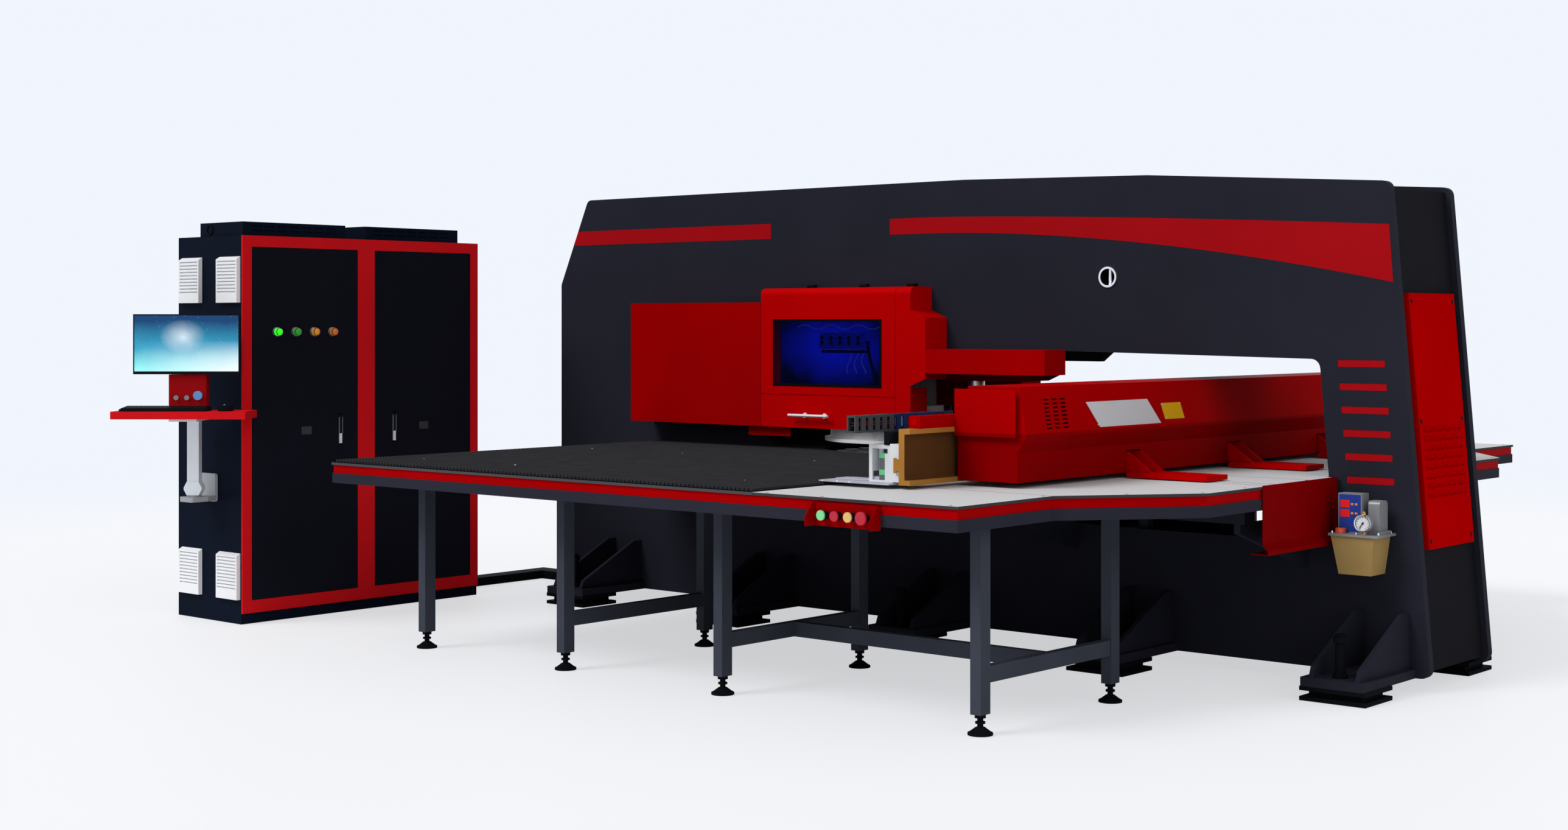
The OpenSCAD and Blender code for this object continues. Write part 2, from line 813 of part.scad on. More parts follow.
module table_frame() {
    cross_x = concat([leg_end], leg_xs);
    color("#b00000")
    both_sides() difference() {
        table_ring(band_z, plate_z, 8, 48);
        turret_opening(band_z - eps, plate_z + eps);
        block([slot_left - 50, guides[0] - 75, band_z - eps], [table_right + eps, guides[0] + 75, plate_z + eps]);
    }
    color("#2a2c36") {
        both_sides() difference() {
            union() {
                table_ring(tube_z, band_z, 3, 63);
                for (x = [table_left + 90, window_left - 90, (window_right(band_z) + table_right) / 2]) table_lug(x);
                for (x = cross_x) {
                    block([x - 30, near_v(table_half) + 50, tube_z], [x + 30, near_v(side_v) - 50, band_z]);
                    block([x - 30, near_v(table_half) + 50, band_z], [x + 30, near_v(side_v) - 50, plate_z]);
                }
            }
            turret_opening(tube_z - eps, plate_z + eps);
            block([slot_left - 50, guides[0] - 75, tube_z - 200], [table_right - 70, guides[0] + 75, plate_z + eps]);
        }
        for (s = [-1, 1]) {
            y = mid_y + s * post_off;
            right = window_right(plate_z) - 30;
            block([window_left + 20, y - 25, band_z], [turret_x - 520, y + 25, plate_z]);
            block([turret_x + 560, y - 25, band_z], [right, y + 25, plate_z]);
            for (x = [window_left + 60, turret_x + 640, (turret_x + 640 + right) / 2, right - 60]) {
                block([x - 25, y - 25, floor_z], [x + 25, y + 25, band_z]);
            }
        }
    }
}

// Legs: four in the front row, three in the second row, joined by low braces
leg_xs = [turret_x - 252, brush_right - 445, wing_right - 118];
leg_end = table_left + 356;
leg_front = 2333;
leg_back = 1394;
leg_z = 80;
brace_z = 200;
leg_w = 50;
leg_d = 65;
brace_w = 40;
brace_h = 65;
module leg(x, v) {
    block([x - leg_w / 2, near_v(v) - leg_d / 2, leg_z], [x + leg_w / 2, near_v(v) + leg_d / 2, tube_z]);
}

module table_legs() {
    brace_v = (leg_front + leg_back) / 2;
    color("#2a2c36")
    both_sides() {
        leg(leg_end, leg_front);
        for (x = leg_xs) {
            leg(x, leg_front);
            leg(x, leg_back);
            block([x - brace_w / 2, near_v(leg_front) + leg_d / 2 + seat, brace_z],
                [x + brace_w / 2, near_v(leg_back) - leg_d / 2 - seat, brace_z + brace_h]);
        }
        block([leg_xs[1] + brace_w / 2 + seat, near_v(brace_v) - brace_w / 2, brace_z],
            [leg_xs[2] - brace_w / 2 - seat, near_v(brace_v) + brace_w / 2, brace_z + brace_h]);
    }
}

module table_foot(x, v) {
    translate([x, near_v(v), 0]) rotate_extrude()
        polygon([[0, 0], [50, 0], [50, 9], [40, 14], [19, 30], [12, 32], [12, 44], [20, 44], [20, 52], [12, 52],
            [12, 66], [22, 66], [22, leg_z], [0, leg_z]]);
}

module table_feet() {
    color("#101114")
    both_sides() {
        table_foot(leg_end, leg_front);
        for (x = leg_xs) {
            table_foot(x, leg_front);
            table_foot(x, leg_back);
        }
    }
}

// Folded covers over the open ends of the guides, at the table's right end
module rail_covers() {
    x = table_right + seat;
    t = 4;
    profile = [
        [x, table_top + 4], [x, 668], [x + 24, 640], [x + 24, 628], [x - 56, 628], [x - 56, 624],
        [x + 28, 624], [x + 28, 642], [x + t, 670], [x + t, table_top + 4]
    ];
    color("#b00000")
    both_sides() along_y(profile, guides[0] - 120, near_y - 10);
}

// Beams under the table that carry the guide rails
module rail_beams() {
    x0 = rail_beam_left;
    x1 = rail_beam_right;
    beam_foot = rail_z - 60;
    color("#2a2c36") {
        both_sides() {
            block([x0, guides[0] - 45, beam_foot], [x1, guides[0] + 45, rail_z]);
            for (x = [x0 + 20, x1 - 50]) {
                along_x([[near_y, beam_foot - 240], [near_y, beam_foot], [guides[0] - 45, beam_foot],
                    [guides[0] - 45, beam_foot - 40]], x, x + 30);
            }
        }
        block([x0, mid_y - 45, beam_foot], [x1, mid_y + 45, rail_z]);
        for (x = [x0 + 40, (x0 + x1) / 2, x1 - 80]) {
            block([x, mid_y - 30, floor_z], [x + 50, mid_y + 30, beam_foot]);
        }
        difference() {
            block([x0, mid_y + 25, beam_foot + 10], [x0 + 34, feed_y + 34, feed_z + 30]);
            rod_x([x0 - eps, feed_y, feed_z], feed_r + running, 40);
        }
    }
    color("#9a9da3")
    for (y = guides) {
        half = [[rail_half, 0], [rail_half, 9], [rail_half - 6, 14], [rail_half, 20], [rail_half, rail_h]];
        rail = concat([for (p = half) [y + p.x, rail_z + p.y]], [for (i = [4:-1:0]) [y - half[i].x, rail_z + half[i].y]]);
        along_x(rail, x0 + 5, rail_right);
    }
}

// Bronze channel beam with a dovetail on its left face
module beam() {
    x = beam_x;
    z0 = beam_z;
    z1 = beam_top;
    r = 14;
    web = x + beam_web;
    profile = [
        [x, z0], [back_x, z0], [back_x, z0 + beam_lip], [web + r, z0 + beam_lip], [web + 4, z0 + beam_lip + 4],
        [web, z0 + beam_lip + r], [web, z1 - beam_lip - r], [web + 4, z1 - beam_lip - 4], [web + r, z1 - beam_lip],
        [back_x, z1 - beam_lip], [back_x, z1], [x, z1], [x, tail_z + tail_h - 12], [x - tail_d, tail_z + tail_h],
        [x - tail_d, tail_z], [x, tail_z + 12]
    ];
    color("#a9762f")
    along_y(profile, mid_y - beam_half, mid_y + beam_half);
}

// Section of the sheet-metal cover behind the beam
function cover_section() =
    let (z = cover_z, x = cover_x, r = cover_right, top = table_top + cover_rise)
    [[x, z], [r, z], [r, z + 125], [r + 45, z + 190], [r + 10, top], [x + 55, top], [x + 25, top - 105],
        [x, beam_top + 14]];

module beam_cover() {
    outer = cover_section();
    inner = inset(outer, sheet_t);
    top = beam_top;
    trough_top = top + trough_h;
    trough_near = mid_y - beam_half + trough_short;
    lip = trough_t;
    color("#b00000") {
        difference() {
            along_y(outer, cover_near, cover_far);
            along_y(inner, cover_near + sheet_t, cover_far - sheet_t);
            for (y = guides) {
                block([cover_x - eps, y - 62, cover_z - eps], [cover_right + eps, y + 62, cover_z + 98]);
            }
            for (i = [0:2], j = [0:7]) {
                block([cover_right - 20, cover_near + 160 + i * 62, table_top + 243 + j * 17],
                    [cover_right + 60, cover_near + 200 + i * 62, table_top + 250 + j * 17]);
            }
        }
        block([cover_x, cover_near - 24, cover_z + 188], [cover_x + 310, cover_near - 20, table_top + cover_rise - 12]);
        block([cover_x + 20, cover_near - 24, cover_z + 200], [cover_x + 290, cover_near + eps, cover_z + 212]);
        along_y([[beam_x, top], [back_x, top], [back_x, trough_top], [beam_x, trough_top],
            [beam_x, trough_top - lip], [back_x - lip, trough_top - lip], [back_x - lip, top + lip], [beam_x, top + lip]],
            trough_near, cover_far + 3);
        difference() {
            block([beam_x, trough_near, top + lip - eps], [back_x - lip + eps, trough_near + 12, trough_top - lip + eps]);
            rod_y([screw_x, trough_near - eps, screw_z], screw_d / 2 + running, 14);
        }
    }
}

// Three slides: plate on the table, gussets to the beam's back, legs through the slots, and rail blocks
module beam_slide(y) {
    top = slide_z + slide_t;
    block_z = rail_z + 8;
    arm_z = cover_z + 6;
    block([slide_left, y - 90, slide_z], [slide_left + slide_l, y + 90, top]);
    block([back_x, y - 55, arm_z], [slide_left + 30, y + 55, arm_z + 20]);
    block([slide_left, y - 55, top - eps], [slide_left + 30, y + 55, arm_z + 20]);
    for (s = [-1, 1]) {
        along_y([[cover_right - 60, arm_z + 19], [slide_left + 110, top - eps], [cover_right + 8, cover_z + 92],
            [cover_right - 60, cover_z + 92]], y + s * 50 - 5, y + s * 50 + 5);
        block([leg_left, y + s * slot_off - 4, block_z + 40], [leg_right, y + s * slot_off + 4, slide_z + eps]);
    }
    difference() {
        union() {
            block([leg_left, y - slot_off - 4, block_z], [leg_right, y + slot_off + 4, block_z + 52]);
            if (y == mid_y) block([leg_left + 20, y + slot_off, block_z + 2], [leg_left + 110, feed_y + 32, block_z + 50]);
        }
        block([leg_left - eps, y - rail_half - seat, block_z - eps], [leg_right + eps, y + rail_half + seat, rail_z + rail_h + seat]);
        if (y == mid_y) rod_x([leg_left, feed_y, feed_z], feed_r + running, 120);
    }
}

module beam_slides() {
    color("#a80006")
    for (y = guides) beam_slide(y);
}

// Carriage ball screw in the trough on the beam, with its motor at the far end
screw_d = 20;
screw_x = back_x - 26;
screw_z = beam_top + trough_h / 2;
screw_near = mid_y - beam_half + trough_short + 2;
screw_far = cover_far + 34;
module carriage_screw() {
    color("#9a9da3")
    rod_y([screw_x, screw_near, screw_z], screw_d / 2, screw_far - screw_near);
}

module carriage_motor() {
    color("#202226") {
        difference() {
            block([screw_x - 45, screw_far - 20, beam_top], [screw_x + 45, screw_far + 180, screw_z + 45]);
            rod_y([screw_x, screw_far - 20 - eps, screw_z], screw_d / 2 + running, 21);
        }
    }
}

// Clamp carriage on the dovetail, with the arm that reaches the screw
carriage_y = mid_y - beam_half + 15;
carriage_t = 30;
carriage_x0 = beam_x - seat - carriage_t - tail_d + 1;
carriage_top = beam_z + 168;
carriage_foot = beam_z + 10;
module carriage() {
    x1 = beam_x - seat;
    x0 = carriage_x0;
    z0 = carriage_foot;
    z1 = carriage_top;
    c = seat;
    y1 = carriage_y + carriage_l;
    color("#eeeeef")
    difference() {
        union() {
            along_y([[x0, z0], [x1, z0], [x1, tail_z + 12 - c], [x1 - tail_d - c, tail_z - 2 * c],
                [x1 - tail_d - c, tail_z + tail_h + 2 * c], [x1, tail_z + tail_h - 12 + c], [x1, z1], [x0, z1]],
                carriage_y, y1);
            block([x0, carriage_y + 580, z1 - eps], [x0 + 30, carriage_y + 720, screw_z + 12]);
            block([x0, carriage_y + 580, screw_z - 13], [screw_x + 13, carriage_y + 720, screw_z + 12]);
        }
        rod_y([screw_x, carriage_y + 500, screw_z], screw_d / 2 + running, 300);
    }
}

// Clamp bodies, each with a piston in its window, a fixed lower jaw and a pivot pin between two cheeks
clamp_w = 96;
clamp_h = 162;
clamp_x0 = beam_x - 184;
clamp_x1 = carriage_x0;
lower_jaw_w = 228;
lower_jaw_t = 6;
jaw_z = beam_z;
jaw_right = beam_x - 29;
pivot_x = clamp_x0 + 76;
pivot_z = jaw_z + 30;
pivot_r = 6;
cheek_t = 8;
mouth_x = clamp_x0 + 96;
mouth_z = jaw_z + 50;
piston_x = clamp_x0 + 36;
piston_r = 16;
jaw_top = jaw_z + 26;
piston_z = jaw_top + 5;
window_z0 = jaw_z + 14;
window_z1 = jaw_z + 145;
function clamp_ys() = [for (i = [0:clamp_count - 1]) carriage_y + 20 + i * (carriage_l - 40 - clamp_w) / (clamp_count - 1)];
module clamp(y) {
    x0 = clamp_x0 + 17;
    x1 = clamp_x0 + 55;
    side = (lower_jaw_w - clamp_w) / 2;
    window = [[x0, window_z0], [x1, window_z0], [x1, window_z1 - 20], [x1 + 44, window_z1 - 20], [x1 + 44, window_z1],
        [x0, window_z1]];
    color("#eeeeef") {
        difference() {
            union() {
                along_y([[clamp_x0, jaw_z], [clamp_x1, jaw_z], [clamp_x1, jaw_z + clamp_h], [clamp_x0, jaw_z + clamp_h]],
                    y, y + clamp_w);
                block([jaw_tip, y - side, jaw_z], [jaw_right, y + clamp_w + side, jaw_z + lower_jaw_t]);
            }
            along_y(window, y - eps, y + clamp_w + eps);
            block([clamp_x0 - eps, y + cheek_t, jaw_z + lower_jaw_t], [mouth_x, y + clamp_w - cheek_t, mouth_z]);
            rod_z([jaw_tip + 30, y + 20 - side, jaw_z - eps], 5, lower_jaw_t + 2 * eps);
        }
        rod_y([pivot_x, y + cheek_t - eps, pivot_z], pivot_r, clamp_w - 2 * cheek_t + 2 * eps);
    }
    color("#7fd895") rod_z([piston_x, y + clamp_w / 2, piston_z], piston_r, window_z1 - piston_z + eps);
}
module clamps() {
    for (y = clamp_ys()) clamp(y);
}

// Upper jaws: thin plates with a lug that is bored for the pivot pin
module clamp_jaws() {
    z = jaw_z + lower_jaw_t + 1;
    play = 2;
    lug_r = 13;
    for (y = clamp_ys()) {
        color("#c9ccd2")
        difference() {
            union() {
                along_y([[jaw_tip + 30, z], [clamp_x0 + 5, z], [pivot_x, pivot_z - lug_r + 3], [pivot_x, jaw_top], [clamp_x0 + 5, jaw_top],
                    [clamp_x0 - 20, z + 6], [jaw_tip + 30, z + 5]], y + cheek_t + play, y + clamp_w - cheek_t - play);
                rod_y([pivot_x, y + cheek_t + play, pivot_z], lug_r, clamp_w - 2 * cheek_t - 2 * play);
            }
            rod_y([pivot_x, y, pivot_z], pivot_r + running, clamp_w);
        }
    }
}

// Cable chain beside the beam, as a straight run of open links on the carriage
module cable_chain() {
    x0 = beam_x - 209;
    z0 = beam_z + 212;
    link = 48;
    y0 = carriage_y - 97;
    count = 14;
    color("#5d6066")
    difference() {
        union() {
            for (i = [0:count - 1]) {
                block([x0, y0 + i * link, z0 + (i % 2)], [x0 + 46, y0 + (i + 1) * link, z0 + 72 - (i % 2)]);
            }
            for (y = [carriage_y + 150, carriage_y + 460]) {
                block([x0, y, z0 - 3], [carriage_x0 + 28, y + 60, z0 + 1]);
                block([carriage_x0, y, carriage_top], [carriage_x0 + 28, y + 60, z0]);
            }
        }
        block([x0 + 7, y0 - eps, z0 + 8], [x0 + 39, y0 + count * link + eps, z0 + 64]);
        for (i = [0:count - 1]) {
            block([x0 - eps, y0 + i * link + 22, z0 + 10], [x0 + 47, y0 + i * link + 40, z0 + 62]);
        }
    }
}

// Feed ball screw beside the middle guide, with its motor
feed_y = mid_y + 128;
feed_z = rail_z + 34;
feed_r = 16;
feed_left = rail_beam_left;
feed_right = leg_right + 82;
module feed_screw() {
    color("#9a9da3")
    rod_x([feed_left, feed_y, feed_z], feed_r, feed_right - feed_left);
}

module feed_motor() {
    color("#202226")
    difference() {
        union() {
            block([feed_right - 20, feed_y - 55, feed_z - 55], [feed_right + 150, feed_y + 55, feed_z + 36]);
            block([feed_right, feed_y - 40, rail_z - 30], [feed_right + 60, feed_y + 40, feed_z - 54]);
            block([feed_right, mid_y + 45, rail_z - 40], [feed_right + 60, feed_y + 40, rail_z - 20]);
        }
        rod_x([feed_right - 20 - eps, feed_y, feed_z], feed_r + running, 21);
    }
}

// Button box under the front edge of the table: a wall with two cheeks, and a collar for each button
box_x = wing_right - 700;
box_l = 330;
box_z = 800;
box_h = 93;
box_d = 62;
box_y = near_v(table_half);
box_wall = 4;
button_z = table_top - 68;
collar_r = 17;
collar_l = 24;
stem_r = 11.5;
button_gap = 5;
module button_box() {
    cheek = [[box_y + 3, box_z], [box_y - box_d, box_z], [box_y - box_d, box_z + 36], [box_y - 18, box_z + box_h], [box_y + 3, box_z + box_h]];
    color("#a80006")
    difference() {
        union() {
            block([box_x, box_y - box_wall, box_z], [box_x + box_l, box_y + 3, box_z + box_h]);
            along_x(cheek, box_x, box_x + box_wall);
            along_x(cheek, box_x + box_l - box_wall, box_x + box_l);
            for (i = [0:3]) rod_y([button_x(i), box_y - box_wall - collar_l, button_z], collar_r, collar_l + eps);
        }
        for (i = [0:3]) rod_y([button_x(i), box_y - box_wall - collar_l - eps, button_z], stem_r + seat, collar_l + box_wall);
    }
}
function button_x(i) = box_x + 62 + i * 68;

module push_button(i, r, head, paint) {
    front = box_y - box_wall - collar_l - button_gap - head;
    color(paint) {
        rod_y([button_x(i), front, button_z], r, head);
        rod_y([button_x(i), front + head - eps, button_z], stem_r, button_gap + 18);
    }
}
module start_button() push_button(0, 20, 7, "#7fd895");
module stop_button() push_button(1, 20, 7, "#b81f35");
module hold_button() push_button(2, 20, 7, "#e0b96f");
module mushroom_button() push_button(3, 26, 10, "#b81f35");

// Lubricator: tapered tank, lid with pump, control box and gauge
oil_x = frame_right - 379;
oil_z = 673;
oil_l = 200;
oil_taper = 25;
module oil_tank() {
    y0 = near_y - 173;
    y1 = near_y - 8;
    z0 = oil_z - 168;
    color("#9b7d50")
    intersection() {
        along_y([[oil_x + oil_taper, z0], [oil_x + oil_l - oil_taper, z0], [oil_x + oil_l, oil_z], [oil_x, oil_z]], y0, y1);
        along_x([[y0 + oil_taper, z0], [y1, z0], [y1, oil_z], [y0, oil_z]], oil_x, oil_x + oil_l);
    }
}

gauge_x = oil_x + 156;
gauge_z = oil_z + 62;
gauge_y = near_y - 192;
module oil_pump() {
    lid = oil_z + 11;
    color("#8a8d90") {
        block([oil_x - 8, near_y - 182, oil_z], [oil_x + oil_l + 22, near_y, lid]);
        block([oil_x + 14, near_y - 128, lid], [oil_x + 124, near_y - 60, lid + 173]);
        along_x(rounded(box_outline(near_y - 120, lid, near_y - 40, lid + 145), 18), oil_x + 150, oil_x + 202);
        block([oil_x + 140, near_y - 130, lid], [oil_x + 214, near_y - 30, lid + 14]);
        difference() {
            rod_y([gauge_x, gauge_y, gauge_z], 37, 28);
            rod_y([gauge_x, gauge_y - eps, gauge_z], 33, 7);
        }
        rod_z([gauge_x, gauge_y + 20, lid - eps], 8, gauge_z - lid - 30);
        block([gauge_x - 10, gauge_y + 10, lid - 6], [gauge_x + 10, near_y - 170, lid + 8]);
    }
}

module gauge_needle() {
    color("#101010")
    translate([gauge_x, gauge_y, gauge_z]) rotate([0, 35, 0]) {
        rod_y([0, 2, 0], 4, 4 - seat);
        block([-1.2, 2.2, -26], [1.2, 4.2, 8]);
    }
}

module filler_cap() {
    color("#d8542a") {
        rod_z([oil_x + 38, near_y - 154, oil_z + 11 + seat], 23, 22);
    }
}

// Cabinet shell with two compartments, plinth and fan boxes
module cabinet_shell() {
    x1 = door_x - bezel_t;
    y1 = cabinet_y + cabinet_w;
    wall = 4;
    mid = cabinet_y + cabinet_w / 2;
    color("#15161c") {
        difference() {
            block([cabinet_x, cabinet_y, 0], [x1, y1, cabinet_h]);
            block([cabinet_x + wall, cabinet_y + wall, plinth_h + 40], [x1 + eps, mid - 20, cabinet_h - wall]);
            block([cabinet_x + wall, mid + 20, plinth_h + 40], [x1 + eps, y1 - wall, cabinet_h - wall]);
        }
        for (y = [cabinet_y + 17, cabinet_y + 823]) {
            difference() {
                block([cabinet_x + 183, y, cabinet_h - eps], [x1 - 12, y + 670, cabinet_h + 74]);
                for (i = [0:6], j = [0:1]) {
                    block([x1 - 18, y + 60 + i * 80, cabinet_h + 22 + j * 24], [x1, y + 120 + i * 80, cabinet_h + 32 + j * 24]);
                }
            }
        }
    }
}

// Red frame around both doors
module cabinet_bezel() {
    y1 = cabinet_y + cabinet_w;
    color("#a00f14")
    difference() {
        block([door_x - bezel_t, cabinet_y, plinth_h], [door_x, y1, cabinet_h]);
        for (y = [door1_y, door2_y]) {
            block([door_x - bezel_t - eps, y - door_gap, door_z - door_gap],
                [door_x + eps, y + door_w + door_gap, door_top + door_gap]);
        }
        for (y = [door1_y + pin_in, door2_y + door_w - pin_in]) {
            rod_z([door_x - pin_x, y, door_z - 20], pin_r + running, door_top - door_z + 40);
        }
    }
}

// A door leaf with its lock plate and the pocket of the swing handle
handle_z = 928;
handle_h = 172;
pocket_w = 24;
module door(y, handle_y, lock_y) {
    hinge_at = handle_y > y + door_w / 2 ? y + pin_in : y + door_w - pin_in;
    rod_z([door_x - pin_x, hinge_at, door_top - eps], pin_r, door_gap + eps + 8);
    rod_z([door_x - pin_x, hinge_at, door_z - door_gap - 8], pin_r, door_gap + eps + 8);
    difference() {
        union() {
            block([door_x - door_t, y, door_z], [door_x, y + door_w, door_top]);
            block([door_x - eps, lock_y, 993], [door_x + 2, lock_y + 67, 1036]);
            block([door_x - eps, handle_y - 5, handle_z - 5], [door_x + 3, handle_y + pocket_w + 5, handle_z + handle_h + 5]);
        }
        block([door_x - 12, handle_y, handle_z], [door_x + 4, handle_y + pocket_w, handle_z + handle_h]);
    }
}
handle1_y = door1_y + door_w - 131;
handle2_y = door2_y + 122;
lamp_z = 1552;
module door_left() {
    color("#15161c") door(door1_y, handle1_y, handle1_y - 247);
    color("#c9ccd2")
    for (i = [0:3]) {
        rod_x([door_x - eps, door1_y + 158 + i * 121.5, lamp_z], 25, 9);
        rod_x([door_x + 7, door1_y + 158 + i * 121.5, lamp_z], 20, 20);
    }
}
module door_right() {
    color("#15161c") door(door2_y, handle2_y, handle2_y + 193);
}

// Lever that lies in the door's pocket and pivots at its top
module swing_handle(y) {
    color("#303236") {
        block([door_x - 11, y + 4, handle_z + 8], [door_x + 7, y + pocket_w - 4, handle_z + handle_h - 14]);
        rod_y([door_x - 4, y + seat, handle_z + handle_h - 14], 6, pocket_w - 2 * seat);
    }
}
module handle_left() swing_handle(handle1_y);
module handle_right() swing_handle(handle2_y);

// Louvred vents on the cabinet's near side
module wall_vent(x, z) {
    w = 190;
    h = 246;
    d = 24;
    difference() {
        along_x([[cabinet_y - d, z], [cabinet_y, z], [cabinet_y, z + h], [cabinet_y - d, z + h - 14]], x, x + w);
        for (i = [0:9]) {
            zz = z + 52 + i * 18;
            along_x([[cabinet_y - d - eps, zz], [cabinet_y - d + 14, zz + 6], [cabinet_y - d - eps, zz + 11]], x + 10, x + w - 10);
        }
    }
}

module wall_vents() {
    color("#e4e5e7")
    for (x = [cabinet_x + 35, door_x - 212], z = [130, 1708]) wall_vent(x, z);
}

// Cable duct on the floor from the cabinet to the frame's left end
module floor_duct() {
    y0 = cabinet_y + cabinet_w;
    x0 = cabinet_x + 176;
    x1 = frame_left + web_inset;
    color("#101114") {
        block([x0, y0 + seat, 0], [x0 + 120, mid_y + 60, 50]);
        block([x0, mid_y - 60, 0], [x1, mid_y + 60, 50]);
        block([x1 - 60, mid_y - 60, 0], [x1, mid_y + 60, 420]);
    }
}

// Operator arm, in its own turned frame: x across the tray, -y towards the operator
module at_arm() {
    translate([post_x, post_y, 0]) rotate([0, 0, arm_turn]) children();
}

bracket_z = 640;
shelf_z = bracket_z + 34;
spigot_r = 24;
module wall_bracket() {
    left = post_x - 68;
    right = post_x + 14;
    near = post_y - 50;
    color("#9a9da3")
    difference() {
        union() {
            along_y(rounded(box_outline(post_x - 131, bracket_z, right, bracket_z + 150), 14), cabinet_y - 16, cabinet_y);
            translate([0, 0, bracket_z + 8]) linear_extrude(26)
                polygon(rounded([[left, cabinet_y - 6], [left, near], [post_x + 50, near], [post_x + 50, post_y + 50], [right, cabinet_y - 6]], 14));
            rod_z([post_x, post_y, shelf_z - eps], spigot_r + 12, 11);
        }
        rod_z([post_x, post_y, bracket_z + 14], spigot_r + running, 80);
    }
}

module arm_post() {
    foot = shelf_z + 10 + seat;
    top = tray_top - tray_h;
    flare_h = 73;
    flare_w = 16;
    color("#c9ccd2") {
        rod_z([post_x, post_y, bracket_z + 16], spigot_r, foot - bracket_z - 15);
        at_arm() {
            along_y([[-post_r, foot], [post_r, foot], [post_r + flare_w, foot + 30], [post_r + flare_w, foot + 42], [post_r, foot + flare_h],
                [-post_r, foot + flare_h], [-post_r - flare_w, foot + 42], [-post_r - flare_w, foot + 30]], -post_r - 6, post_r + 6);
            block([-post_r, -post_r, foot + flare_h - eps], [post_r, post_r, top - 15]);
            block([-73, -tray_back - 150, top - 16], [73, 50, top]);
        }
    }
}

module keyboard_tray() {
    z1 = tray_top;
    z0 = tray_top - tray_h;
    color("#a00f14")
    at_arm() difference() {
        block([-tray_w / 2, -tray_back - tray_d, z0], [tray_w / 2, -tray_back, z1]);
        block([-tray_w / 2 + 4, -tray_back - tray_d + 4, z0 + 4], [tray_w / 2 - 4, -tray_back - 4, z1 - 4]);
    }
}

module keyboard_mouse() {
    color("#101114")
    at_arm() {
        along_x([[-tray_back - 225, tray_top], [-tray_back - 95, tray_top], [-tray_back - 95, tray_top + 22],
            [-tray_back - 225, tray_top + 12]], -310, 135);
        translate([225, -tray_back - 150, tray_top]) intersection() {
            cylinder(r = 52, h = 32);
            block([-30, -52, 0], [30, 52, 32]);
        }
    }
}

panel_face = -tray_back - panel_d;
function panel_spots() = [[-58, 66, 13], [-2, 66, 13], [57, 78, 24]];
module control_panel() {
    color("#a00f14")
    at_arm() difference() {
        block([-panel_w / 2, panel_face, tray_top], [panel_w / 2, -tray_back, tray_top + panel_h]);
        block([-panel_w / 2 + 3, panel_face + 3, tray_top + 3], [panel_w / 2 - 3, -tray_back - 3, tray_top + panel_h - 3]);
        for (s = panel_spots()) rod_y([s.x, panel_face - eps, tray_top + s.y], s[2] - 5, 5);
    }
    color("#303236")
    at_arm() {
        block([-30, -tray_back - 26, tray_top + panel_h], [30, -tray_back, monitor_z + 20]);
        rod_x([-30, -tray_back - 33, monitor_z], 10, 60);
    }
}

module panel_button(i, head, paint) {
    s = panel_spots()[i];
    color(paint)
    at_arm() {
        rod_y([s.x, panel_face - head, tray_top + s.y], s[2], head - 4);
        rod_y([s.x, panel_face - 6, tray_top + s.y], s[2] - 5.5, 20);
    }
}
module grey_button_a() panel_button(0, 10, "#8a8d90");
module grey_button_b() panel_button(1, 10, "#8a8d90");
module blue_button() panel_button(2, 14, "#6a9edb");

// Monitor on the panel's stem, with its tilt pivot
module monitor() {
    back = -tray_back - 43 - seat;
    color("#1a1b1e")
    at_arm() difference() {
        union() {
            block([-monitor_w / 2, back - monitor_d, monitor_z - monitor_h / 2], [monitor_w / 2, back - 12, monitor_z + monitor_h / 2]);
            block([-110, back - 14, monitor_z - 80], [110, back, monitor_z + 80]);
        }
        block([-monitor_w / 2 + 6, back - monitor_d - eps, monitor_z - monitor_h / 2 + 15],
            [monitor_w / 2 - 6, back - monitor_d + 1.5, monitor_z + monitor_h / 2 - 6]);
    }
}

main_frame();
levelling_mounts();
end_panel();
left_cover();
hood_shell();
arm_cover();
rear_cover();
ram_housing();
turret_hubs();
brush_tables();
white_plates();
table_frame();
table_legs();
table_feet();
rail_covers();
rail_beams();
button_box();
oil_tank();
oil_pump();
cabinet_shell();
cabinet_bezel();
wall_vents();
floor_duct();
wall_bracket();
feed_motor();
hood_door();
hood_glass();
hood_handle();
upper_turret();
punch_tools();
lower_turret();
ram();
beam();
beam_cover();
beam_slides();
carriage_motor();
carriage_screw();
feed_screw();
carriage();
clamps();
cable_chain();
clamp_jaws();
door_left();
door_right();
handle_left();
handle_right();
arm_post();
keyboard_tray();
keyboard_mouse();
control_panel();
monitor();
start_button();
stop_button();
hold_button();
mushroom_button();
grey_button_a();
grey_button_b();
blue_button();
filler_cap();
gauge_needle();
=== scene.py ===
"""Looks of a CNC turret punch press: finishes for its CAD nodes, small fittings, brushes, lights and camera.

Metres, in the frame of the CAD model: +X along the machine, +Y away from the operator, +Z up.
"""

from math import cos, pi, radians, sin, sqrt

import bmesh
import bpy
from mathutils import Matrix, Vector


